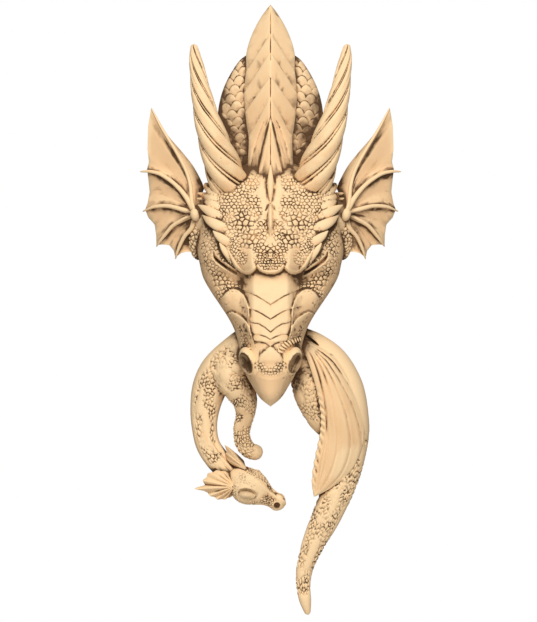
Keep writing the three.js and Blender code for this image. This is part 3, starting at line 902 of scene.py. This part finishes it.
# %% Blotched skin for the limbs
def blotched(size, seed, strength, start=0.0, end=1e6, cover=0.45, stretch=1.0):
    """Cracks between flat flakes, in blotches that cover a share of a stretch of the limb."""

    def skin(s, arc, turn):
        patch = step(noise(s / stretch, arc + 200, 9, seed + 1), 1 - cover - 0.15, 0.35)
        patch *= step(s, start, 10) * (1 - step(s, end, 10))
        cells = pebbles(s / stretch, arc + 300, size, seed, scatter=1.0, groove=0.5)
        return -strength * patch * (1 - cells)

    return skin


# %% Neck, foreleg and paw
NECK = [
    (-8, -98, 36, 20), (-27, -110, 40, 20), (-51, -128, 30, 17.5), (-60.5, -147, 24, 17.5),
    (-65.5, -168, 22, 14.8), (-66, -188, 22, 12.6), (-62, -206, 22, 12), (-51, -222, 22, 12),
    (-36, -237, 24, 11), (-24, -245, 26, 10),
]
FORELEG = [
    (-12, -90, 38, 19), (-22, -110, 40, 19), (-38, -132, 40, 20), (-31, -149, 41, 16),
    (-25.8, -161, 41, 12.8), (-25.2, -174, 39, 9.8), (-28.8, -190, 37, 8.8), (-27, -203, 36, 8.8),
    (-19.5, -211, 35, 8.4), (-7.5, -212.5, 34, 7.4),
]


def neck_skin(s, arc, turn):
    rough = blotched(3.3, 41, 1.9, start=22, end=150, cover=0.7, stretch=1.6)(s, arc, turn)
    inner = step(turn, -1.1, 0.5) * (1 - step(turn, 0.6, 0.5))  # the rough stripe down the front
    fold = (1.8 * roll(turn, -0.35, 0.13) - 1.8 * roll(turn, -0.7, 0.2)) * step(s, 122, 20)
    return rough * inner + fold


add(limb("young_neck", NECK, 96, 190, neck_skin))
add(limb("young_foreleg", FORELEG, 88, 190, blotched(3.6, 43, 1.5, end=132, cover=0.7)))

# %% [markdown]
# The small head is a wedge with an almond eye in a sunk socket, a nostril, and two ears like
# fans, pleated along their ribs and ending in points. Its socket is drilled out of the casting,
# and the eyeball is joined after that. One more egg parts the wing from the jaw.

# %% The small head
SKULL = [
    (-36, -230, 28, 10), (-29, -239, 37, 15.6), (-22, -245.5, 41, 19.2), (-12, -251, 41, 15.6),
    (-4, -255.5, 40, 10.6), (2.5, -259.3, 39, 8.6), (8.5, -262.6, 38, 9.3), (13.8, -265.6, 35, 7),
]


def skull_skin(s, arc, turn):
    ridge = 1.8 * roll(turn, -0.42, 0.2) - 1.3 * roll(turn, -0.95, 0.35)
    ridge -= 0.7 * roll(turn, 0.1, 0.3)
    rough = blotched(2.6, 47, 0.9, start=10, end=52, cover=0.6)(s, arc, turn)
    return ridge * step(s, 8, 14) + rough


add(limb("young_skull", SKULL, 110, 120, skull_skin, flat=0.85))
add(lump("young_nose", (8.6, -257.2, 42), (4.6, 3.0, 4.6), -22, around=32))
EYEBALL = lump("young_eyeball", (-23.4, -254.8, 47.6), (10.4, 4.9, 7.6), -10, around=44)
drill("young_socket", (-23.4, -254.4, 57.6), (12.2, 6.4, 8.6), -10, 0.34, around=32)
drill("young_far_eye", (-14.6, -233.4, 58), (5.4, 2.2, 9), -39, 0.0, around=32)
drill("wing_gap", (42, -100.5, 52), (9.5, 1.7, 16), -38, 0.0, around=32)
drill("young_nostril", (6.4, -265.2, 46), (3.4, 3.2, 9), 20, 0.4, around=32)

# %% [markdown]
# A fan ear spreads from one hub. Its pleats run along the ribs, and a table gives how far the
# skin reaches on the way round.

# %% Fan ears
def fan_form(hub, start, end, reach, lift, teeth):
    def form(u, v, back):
        angle = np.radians(mix(start, end, u))
        pleat = np.abs(((u * teeth) % 1.0) - 0.5) * 4 - 1  # 1 on a rib, -1 in a valley
        radius = (0.08 + 0.92 * v) * np.interp(u, *np.array(reach).T) * (1 + 0.035 * pleat * v)
        depth = mix(hub[2], lift, v) + 1.3 * pleat * np.sqrt(v) - back * 2.6
        return hub[0] + radius * np.cos(angle), hub[1] + radius * np.sin(angle), depth

    return form


NEAR_FAN = [
    (0, 9), (0.126, 14), (0.25, 22.5), (0.353, 29), (0.443, 32), (0.5, 31), (0.533, 40.5),
    (0.56, 31.5), (0.59, 29), (0.66, 24.5), (0.74, 20.8), (0.87, 13), (1, 8),
]
FAR_FAN = [(0, 9), (0.12, 14), (0.25, 21), (0.36, 34.8), (0.45, 27), (0.64, 24), (0.8, 15), (1, 6)]
add(leaf("young_near_fan", 160, 40, fan_form((-35.5, -246.5, 50), 92, 262, NEAR_FAN, 40, 11)))
add(leaf("young_far_fan", 80, 40, fan_form((-23.5, -230, 52), 108, 174, FAR_FAN, 34, 4)))

# %% [markdown]
# The haunch hangs below the jaw on the right. The back rises from behind the head, turns down
# outside the wing and runs out into the tail.

# %% Haunch, back and tail
HAUNCH = [
    (20, -86, 34, 18), (28, -106, 34, 18), (38, -127, 34, 20), (41, -150, 32, 19),
    (50, -176, 28, 15), (60, -198, 22, 6),
]
BACK = [
    (8, -94, 32, 13), (26, -99, 32, 13), (44, -106, 32, 13.5), (62.5, -122, 30, 15.5),
    (75.5, -147, 28, 17), (81, -175, 26, 17), (81, -200, 22, 17), (72, -238, 18, 16.5),
    (57, -274, 15, 14.8), (43, -304, 12, 11.5), (34.5, -328, 10, 8.6), (32.8, -346, 9, 7.2),
    (35, -362, 8, 5.8), (37.7, -375.4, 6, 2.4),
]


def back_skin(s, arc, turn):
    rough = blotched(3.3, 53, 1.7, start=135, end=312, cover=0.6, stretch=1.6)(s, arc, turn)
    fold = 0.9 * (roll(turn, 0.5, 0.1) + roll(turn, 1.0, 0.12) + roll(turn, 0.1, 0.1))
    return rough - fold * (1 - step(s, 60, 40))


add(limb("young_haunch", HAUNCH, 88, 100, blotched(3.9, 51, 1.7, end=92, cover=0.68)))
add(limb("young_back", BACK, 84, 330, back_skin))

# %% [markdown]
# ### The folded wing
#
# A folded wing hangs like a closed umbrella: long creases run from the shoulder and spread
# towards the free edge, and the skin between them is pulled round. The creases are lines that
# move across the leaf on the way down. The inner edge has a fluted border.

# %% Wing
# [share of the way down, across, up, depth]
WING_OUTER = [
    [0, 36, -99, 46], [0.1, 49.4, -106.7, 46], [0.22, 66, -118.5, 45], [0.34, 79, -138, 43],
    [0.48, 89.5, -163, 40], [0.62, 93.5, -188, 38], [0.74, 91, -209, 36], [0.84, 80, -231, 35],
    [0.93, 62, -247, 34], [1, 44.6, -256.6, 34],
]
WING_INNER = [
    [0, 30, -104, 56], [0.16, 37, -120, 60], [0.34, 45, -146, 58], [0.52, 50, -174, 52],
    [0.68, 49, -196, 46], [0.82, 43.8, -222, 41], [0.92, 41.4, -242, 37], [1, 43.2, -256.4, 34],
]
# [share of the way down, place of each crease across the leaf]
CREASES = [
    [0, 0.35, 0.45, 0.52, 0.6, 0.7], [0.22, 0.22, 0.36, 0.5, 0.64, 0.8],
    [0.55, 0.12, 0.34, 0.61, 0.84, 1.02], [0.8, 0.26, 0.48, 0.78, 1.05, 1.2],
    [1, 0.4, 0.6, 0.9, 1.2, 1.4],
]


def wing_form(u, v, back):
    down = 1 - v
    inner, outer = (
        np.column_stack([curve(rows, down, c) for c in (1, 2, 3)])
        for rows in (WING_INNER, WING_OUTER)
    )
    spot = mix(inner, outer, u[:, None])
    width = np.linalg.norm(outer - inner, axis=1)
    belly = np.sin(np.pi * u) ** 0.8 * np.sin(np.pi * np.clip(down * 0.85 + 0.1, 0, 1))
    depth = spot[:, 2] + 11 * belly
    shown = step(down, 0.04, 0.12) * (1 - step(down, 0.86, 0.14))
    sharp = mix(2.4, 1.1, step(down, 0.15, 0.3))
    for line in range(1, len(CREASES[0])):
        gap = (u - curve(CREASES, down, line)) * width
        depth -= shown * (sharp * roll(gap, 0, 1.4) + 1.2 * roll(gap, 4.0, 4.0))
    flute = u * width
    wave = np.sin(2 * np.pi * (down * 21 - flute / 9)) * step(down, 0.3, 0.2)
    border = 1 - step(flute, 3.0, 3.0)
    depth += border * shown * (0.6 * wave - 0.6) - 1.1 * roll(flute, 6.0, 1.0) * shown
    out = np.column_stack([inner[:, 0] - outer[:, 0], inner[:, 1] - outer[:, 1]]) / width[:, None]
    nick = 0.45 * wave * (1 - step(flute, 0, 4.0)) * shown
    across, up = spot[:, 0] + out[:, 0] * nick, spot[:, 1] + out[:, 1] * nick
    return across, up, np.where(back > 0.5, 6.0, depth)


add(leaf("young_wing", 150, 220, wing_form))

# %% [markdown]
# ## One casting
#
# All the parts are joined with one union, the nostrils and sockets are taken out, and a block
# behind the wall plane cuts the back flat. The eyeball goes in after its socket is cut.

# %% Join, hollow and cut flat
def baked(piece):
    """The piece's mesh with its modifiers applied."""
    graph = bpy.context.evaluated_depsgraph_get()
    return bpy.data.meshes.new_from_object(piece.evaluated_get(graph))


def merge(piece, others, operation):
    """Joins the others to the piece, or takes them out of it, and removes them."""
    group = bpy.data.collections.new(operation.lower())
    bpy.context.scene.collection.children.link(group)
    for other in others:
        bpy.context.scene.collection.objects.unlink(other)
        group.objects.link(other)
    tool = piece.modifiers.new(operation.lower(), "BOOLEAN")
    tool.operation, tool.solver, tool.operand_type = operation, "MANIFOLD", "COLLECTION"
    tool.collection = group
    piece.data = baked(piece)
    piece.modifiers.clear()
    for other in others:
        bpy.data.objects.remove(other)
    bpy.data.collections.remove(group)
    print(operation, "leaves", len(piece.data.polygons), "faces")


relief = PARTS[0]
relief.name = "dragon_casting"
merge(relief, PARTS[1:], "UNION")
wide, thick, tall, middle = 600, 80, 1000, -70  # more than the relief on every side
block = bmesh.new()
bmesh.ops.create_cube(block, size=1.0)
behind = shaped("behind_wall", block, lambda p: (
    p[:, 0] * wide, p[:, 2] * tall + middle, (p[:, 1] - 0.5) * thick))
merge(relief, HOLLOWS + [behind], "DIFFERENCE")
merge(relief, [EYEBALL], "UNION")

# %% [markdown]
# The joined mesh is finer than it need be on smooth stone, so it is thinned where that changes
# the shape least. Its fine points are kept aside, to tell later how deep the surface lies.

# %% Thin
MOST_TRIANGLES = 196000

fine_points = points_of(relief.data) / MM
corners = sum(len(face.vertices) - 2 for face in relief.data.polygons)
thin = relief.modifiers.new("thin", "DECIMATE")
thin.ratio = min(1.0, MOST_TRIANGLES / corners)
thin.use_collapse_triangulate = True
relief.data = baked(relief)
relief.modifiers.clear()
print("thinned from", corners, "to", len(relief.data.polygons), "triangles")

# %% [markdown]
# The cuts and the thinning leave a few pin holes and crumbs of a few triangles. They are cut
# out with their neighbours, the holes are filled flat, and any loose crumb goes. After that the
# casting is one closed mesh, and a printed copy of it would be solid. Its back is then pressed
# onto the wall plane exactly.

# %% Mend
SAME_PLACE = 1e-6  # metres; points closer than this become one
LARGEST_CRUMB = 500  # points
MOST_ROUNDS = 5  # a cut can leave a smaller fault beside it, so the mesh is looked over again


def islands(bm):
    """The separate sets of points of a mesh."""
    left, found = set(bm.verts), []
    while left:
        island = {left.pop()}
        fresh = set(island)
        while fresh:
            fresh = {e.other_vert(v) for v in fresh for e in v.link_edges} & left
            left -= fresh
            island |= fresh
        found.append(island)
    return found


def mend(mesh):
    bm = bmesh.new()
    bm.from_mesh(mesh)
    for _ in range(MOST_ROUNDS):
        bmesh.ops.remove_doubles(bm, verts=bm.verts, dist=SAME_PLACE)
        ragged = [v for v in bm.verts if v.is_boundary or not v.is_manifold]
        torn = {face for v in ragged for face in v.link_faces}
        if not torn:
            break
        bmesh.ops.delete(bm, geom=list(torn), context="FACES")
        bmesh.ops.delete(bm, geom=[v for v in bm.verts if not v.link_faces], context="VERTS")
        rim = [e for e in bm.edges if e.is_boundary]
        patched = bmesh.ops.holes_fill(bm, edges=rim, sides=0)["faces"]
        bmesh.ops.triangulate(bm, faces=patched)
    crumbs = [v for island in islands(bm) if len(island) < LARGEST_CRUMB for v in island]
    bmesh.ops.delete(bm, geom=crumbs, context="VERTS")
    for v in bm.verts:
        v.co.y = min(v.co.y, 0.0)
    open_edges = sum(len(e.link_faces) != 2 for e in bm.edges)
    print(len(bm.faces), "faces;", open_edges, "open edges;", len(islands(bm)), "piece")
    bm.to_mesh(mesh)
    bm.free()


mend(relief.data)

# %% [markdown]
# Smooth shading hides the triangles, and edges sharper than an angle stay crisp, as the plate
# edges and the rim of the flat back do on the casting.

# %% Shading of faces and edges
CRISP = math.radians(62)
relief.data.polygons.foreach_set("use_smooth", np.ones(len(relief.data.polygons), bool))
relief.data.set_sharp_from_angle(angle=CRISP)

# %% [markdown]
# ## Where shade is painted
#
# The casting is sand-coloured all over. The shade that falls in its hollows is painted into the
# colour as dark umber, so the mesh carries a number for each point that says how deep it lies. The
# first measure is a grid laid over the front: each point's depth is compared with the average
# depth round it, over a short reach for grooves and over wide ones for the shade under the jaws.

# %% The front as a grid of depths
CELL = 0.8  # millimetres
LOWEST = np.array([-140.0, -384.0])  # the grid's first corner, across and up
GRID = (790, 350)  # rows up, columns across


def cells_of(points):
    place = ((points[:, [0, 2]] - LOWEST) / CELL).astype(int)
    return place[:, 1], place[:, 0]


def spread(field, reach):
    """Averages a grid over its neighbours with a bell-shaped weight."""
    reach = reach / CELL
    span = int(3 * reach)
    for axis in (0, 1):
        total = np.zeros(field.shape)
        for shift in range(-span, span + 1):
            total += np.roll(field, shift, axis) * math.exp(-0.5 * (shift / reach) ** 2)
        field = total
    return field


front = np.zeros(GRID)
np.maximum.at(front, cells_of(fine_points), -fine_points[:, 1])
for _ in range(2):  # cells without a point take their highest neighbour
    nearby = [np.roll(front, (i, j), (0, 1)) for i in (-1, 0, 1) for j in (-1, 0, 1)]
    front = np.where(front > 0, front, np.max(nearby, axis=0))


def below_average(points, reach):
    """How many millimetres each point lies behind the surface round it."""
    average = spread(front, reach) / spread(np.ones((1, 1)), reach)
    return average[cells_of(points)] + points[:, 1]


# %% [markdown]
# The second measure needs no grid: the mesh is smoothed along its edges, and where a point lies
# behind the smoothed mesh it is in a crease. The third is whether it lies in a drilled hole.

# %% Creases and drilled holes
def within(points, centre, halves, lean, amount):
    """The amount of painted shade for points in the egg that drilled a hole, or on its wall, and 0
    for others.
    """
    turn = math.radians(lean)
    x, z = points[:, 0] - centre[0], points[:, 2] - centre[1]
    a = (x * math.cos(turn) + z * math.sin(turn)) / halves[0]
    b = (z * math.cos(turn) - x * math.sin(turn)) / halves[1]
    return amount * (a**2 + b**2 + ((-points[:, 1] - centre[2]) / halves[2]) ** 2 < 1.04)


points, normals = points_of(relief.data) / MM, points_of(relief.data, "normal")
ends = np.empty(len(relief.data.edges) * 2, np.int32)
relief.data.edges.foreach_get("vertices", ends)
one, other = ends.reshape(-1, 2).T
met = np.bincount(ends, minlength=len(points))


def around_each(along_edge_one, along_edge_other):
    total = np.bincount(one, along_edge_one, len(points))
    return (total + np.bincount(other, along_edge_other, len(points))) / np.maximum(met, 1)


def sunk(rounds):
    """How far each point lies behind the mesh once that is smoothed a number of times."""
    smooth = points
    for _ in range(rounds):
        beside_it = [around_each(smooth[other, axis], smooth[one, axis]) for axis in range(3)]
        smooth = 0.5 * smooth + 0.5 * np.column_stack(beside_it)
    return ((smooth - points) * normals).sum(1)


faces_room = step(-normals[:, 1], -0.05, 0.55)
span = np.linalg.norm(points[one] - points[other], axis=1)
spacing, longest = around_each(span, span), np.zeros(len(points))
np.maximum.at(longest, ends, np.repeat(span, 2))

# %% [markdown]
# The measures are added up into `hollow`, the amount of painted shade. A wide triangle would carry
# the painted shade of a step right across smooth stone, so less is taken there. A second number
# marks edges that stand up and faces that look up, which get a painted highlight.

# %% The two numbers of each point
NEAR_REACH, WIDE_REACH, DEEP_REACH = 1.9, 9.0, 18.0

near = (below_average(points, NEAR_REACH) - 0.32 * step(longest, 2.0, 2.0)) * faces_room
wide = below_average(points, WIDE_REACH) * faces_room
deep = below_average(points, DEEP_REACH) * faces_room
crease = sunk(rounds=4) * (1 - step(spacing, 1.1, 0.9))
# the inside of each drilled hole gets painted shade
shade_in_holes = sum(within(points, *egg) for egg in DRILLED)
# points in grooves, creases, recesses and holes get painted shade by this amount
painted_shade_by = np.clip(near / 1.1, 0, 2) ** 1.2 + np.clip(wide / 24, 0, 0.36)
painted_shade_by += 2.6 * np.clip(crease, 0, 1)
painted_shade_by += np.clip(deep / 55, 0, 0.20)
painted_shade_by += 0.14 * (1 - step(-normals[:, 1], 0.05, 0.35))  # walls that turn from the room get a little painted shade
painted_shade_by = np.clip(painted_shade_by + shade_in_holes, 0, 1)
# faces that look up and edges that stand up get a painted highlight
looks_up = step(normals[:, 2], 0.0, 0.5)
for _ in range(6):  # softened, so that no triangle stands out
    looks_up = 0.4 * looks_up + 0.6 * around_each(looks_up[other], looks_up[one])
painted_highlight_by = np.clip(-near / 2.2 - 1.4 * crease + 0.6 * looks_up, 0, 1)
for name, values in (("hollow", painted_shade_by), ("painted_highlight", painted_highlight_by)):
    layer = relief.data.attributes.new(name, "FLOAT", "POINT")
    layer.data.foreach_set("value", values.astype(np.float32))
    print(name, "average", round(float(values.mean()), 3), "most", round(float(values.max()), 3))

# %% [markdown]
# ## Cast stone
#
# Sand-filled composite is matt, with a fine grain, pin holes where air was caught, and soft
# differences in tint. The nodes give a sand colour with mottling, painted shade mixed in as dark
# umber by the hollow number, and a painted highlight on raised edges and faces that look up.
# The grain also tilts the light a little, through a bump.

# %% Node helpers
stone = bpy.data.materials.new("cast_stone")
stone.use_nodes = True
nodes, links = stone.node_tree.nodes, stone.node_tree.links
shader = nodes["Principled BSDF"]
where = nodes.new("ShaderNodeTexCoord").outputs["Object"]


def grain_noise(scale, detail):
    node = nodes.new("ShaderNodeTexNoise")
    node.inputs["Scale"].default_value = scale
    node.inputs["Detail"].default_value = detail
    links.new(where, node.inputs["Vector"])
    return node.outputs["Fac"]


def reading(name):
    node = nodes.new("ShaderNodeAttribute")
    node.attribute_name = name
    return node.outputs["Fac"]


def ranged(value, low, high, to_low, to_high):
    node = nodes.new("ShaderNodeMapRange")
    limits = {"From Min": low, "From Max": high, "To Min": to_low, "To Max": to_high}
    for socket, number in limits.items():
        node.inputs[socket].default_value = number
    links.new(value, node.inputs["Value"])
    return node.outputs["Result"]


def combined(a, b, operation="ADD"):
    node = nodes.new("ShaderNodeMath")
    node.operation = operation
    links.new(a, node.inputs[0])
    links.new(b, node.inputs[1])
    return node.outputs[0]


def blended(share, first, second):
    node = nodes.new("ShaderNodeMix")
    node.data_type = "RGBA"
    links.new(share, node.inputs["Factor"])
    for value, socket in ((first, node.inputs["A"]), (second, node.inputs["B"])):
        if isinstance(value, tuple):
            socket.default_value = value
        else:
            links.new(value, socket)
    return node.outputs["Result"]


# %% [markdown]
# The colours are the dry stone, its darker mottling, the painted shade and the painted highlight.
# The numbers after them say how many blotches, grains or pits lie side by side in a metre.

# %% Cast stone
SAND, DEEP_SAND = (0.92, 0.605, 0.330, 1), (0.82, 0.50, 0.245, 1)
# a dark umber painted as shade in the hollows, and a pale tint painted as highlight
SHADE_UMBER, HIGHLIGHT_TINT = (0.095, 0.045, 0.018, 1), (0.98, 0.72, 0.42, 1)
MOTTLES, PATCHES_OF_PAINTED_SHADE, FLECKS, PITS, GRAINS = 55, 75, 260, 420, 1500

mottle, grain = grain_noise(MOTTLES, 4), grain_noise(GRAINS, 3)
sand = blended(ranged(mottle, 0.35, 0.7, 0, 0.45), SAND, DEEP_SAND)
sand = blended(ranged(grain, 0.52, 0.72, 0, 0.22), sand, DEEP_SAND)
# a pale tint painted as highlight on raised edges and faces that look up
sand = blended(ranged(reading("painted_highlight"), 0.05, 0.7, 0, 0.75), sand, HIGHLIGHT_TINT)
# painted shade: dark umber mixed into the sand by the hollow number, patchy and flecked
uneven = ranged(grain_noise(PATCHES_OF_PAINTED_SHADE, 2), 0.35, 0.65, 0.6, 1.6)
patchy = combined(reading("hollow"), uneven, "MULTIPLY")
painted_shade = combined(patchy, ranged(grain_noise(FLECKS, 4), 0.3, 0.7, -0.07, 0.07))
sand_with_painted_shade = blended(ranged(painted_shade, 0.10, 0.95, 0, 0.96), sand, SHADE_UMBER)
links.new(sand_with_painted_shade, shader.inputs["Base Color"])
links.new(ranged(grain, 0.3, 0.7, 0.72, 0.86), shader.inputs["Roughness"])
shader.inputs["Specular IOR Level"].default_value = 0.22

pits = nodes.new("ShaderNodeTexVoronoi")
pits.inputs["Scale"].default_value = PITS
links.new(where, pits.inputs["Vector"])
bump = nodes.new("ShaderNodeBump")
bump.inputs["Strength"].default_value = 0.30
bump.inputs["Distance"].default_value = 0.00025
relief_grain = combined(grain, ranged(pits.outputs["Distance"], 0.0, 0.16, -0.5, 0.0))
links.new(relief_grain, bump.inputs["Height"])
links.new(bump.outputs["Normal"], shader.inputs["Normal"])
relief.data.materials.clear()
relief.data.materials.append(stone)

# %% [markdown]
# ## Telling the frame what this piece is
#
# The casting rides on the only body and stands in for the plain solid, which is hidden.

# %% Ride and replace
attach(relief, "root")
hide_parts("dragon_relief")

# %% [markdown]
# ## Floor, light and camera
#
# A pale floor lies well below the hanging relief.

# %% Floor
FLOOR_HALF, FLOOR_DROP = 0.6, 0.08  # metres

floor_bm = bmesh.new()
bmesh.ops.create_grid(floor_bm, x_segments=1, y_segments=1, size=FLOOR_HALF)
bmesh.ops.translate(floor_bm, vec=(0, 0, cad_low.z - FLOOR_DROP), verts=floor_bm.verts)
floor_mesh = bpy.data.meshes.new("floor")
floor_bm.to_mesh(floor_mesh)
floor_bm.free()
floor = linked("floor", floor_mesh)
pale = bpy.data.materials.new("pale_floor")
pale.use_nodes = True
pale_shader = pale.node_tree.nodes["Principled BSDF"]
pale_shader.inputs["Base Color"].default_value = (0.86, 0.85, 0.83, 1)
pale_shader.inputs["Roughness"].default_value = 0.9
floor_mesh.materials.append(pale)

# %% [markdown]
# The light is that of a shop's studio: a white surround, one broad lamp in front and above, and
# a weaker one near the viewer that opens the shadows under the jaws.

# %% Surround and lamps
SURROUND = 0.165  # strength of the surround as a light; seen directly it is white

world = bpy.data.worlds.new("surround")
bpy.context.scene.world = world
world.use_nodes = True
air, air_links = world.node_tree.nodes, world.node_tree.links
light_path = air.new("ShaderNodeLightPath")
strength = air.new("ShaderNodeMapRange")
strength.inputs["To Min"].default_value = SURROUND
strength.inputs["To Max"].default_value = 1.0
air_links.new(light_path.outputs["Is Camera Ray"], strength.inputs["Value"])
air["Background"].inputs["Color"].default_value = (1, 1, 1, 1)
air_links.new(strength.outputs["Result"], air["Background"].inputs["Strength"])


def lamp(name, place, size, power):
    light = bpy.data.lights.new(name, "AREA")
    light.shape, light.size, light.energy = "DISK", size, power
    piece = linked(name, light)
    piece.location = place
    aim = Vector((0, 0, -0.07)) - Vector(place)  # at the middle of the relief
    piece.rotation_euler = aim.to_track_quat("-Z", "Y").to_euler()


lamp("key", (0.0, -2.3, 1.7), size=1.7, power=61)
lamp("fill", (0.0, -2.8, 0.4), size=1.0, power=22)

# %% [markdown]
# The camera looks straight at the wall through a long lens from far away, which keeps the
# proportions of a drawing.

# %% Camera
VIEW_HEIGHT = 622.0  # drawn millimetres from the lower to the upper edge of the view
AWAY = 12.0
TRUE_PLANE = 0.03  # that height is met this far in front of the wall

camera_data = bpy.data.cameras.new("viewer")
camera_data.lens = camera_data.sensor_width * (AWAY - TRUE_PLANE) / (VIEW_HEIGHT * MM)
camera_data.clip_end = 30
camera = linked("viewer", camera_data)
camera.location = (-0.002, -AWAY, -0.071)
camera.rotation_euler = (math.radians(90), 0, 0)
bpy.context.scene.camera = camera
bpy.context.scene.view_settings.view_transform = "Standard"
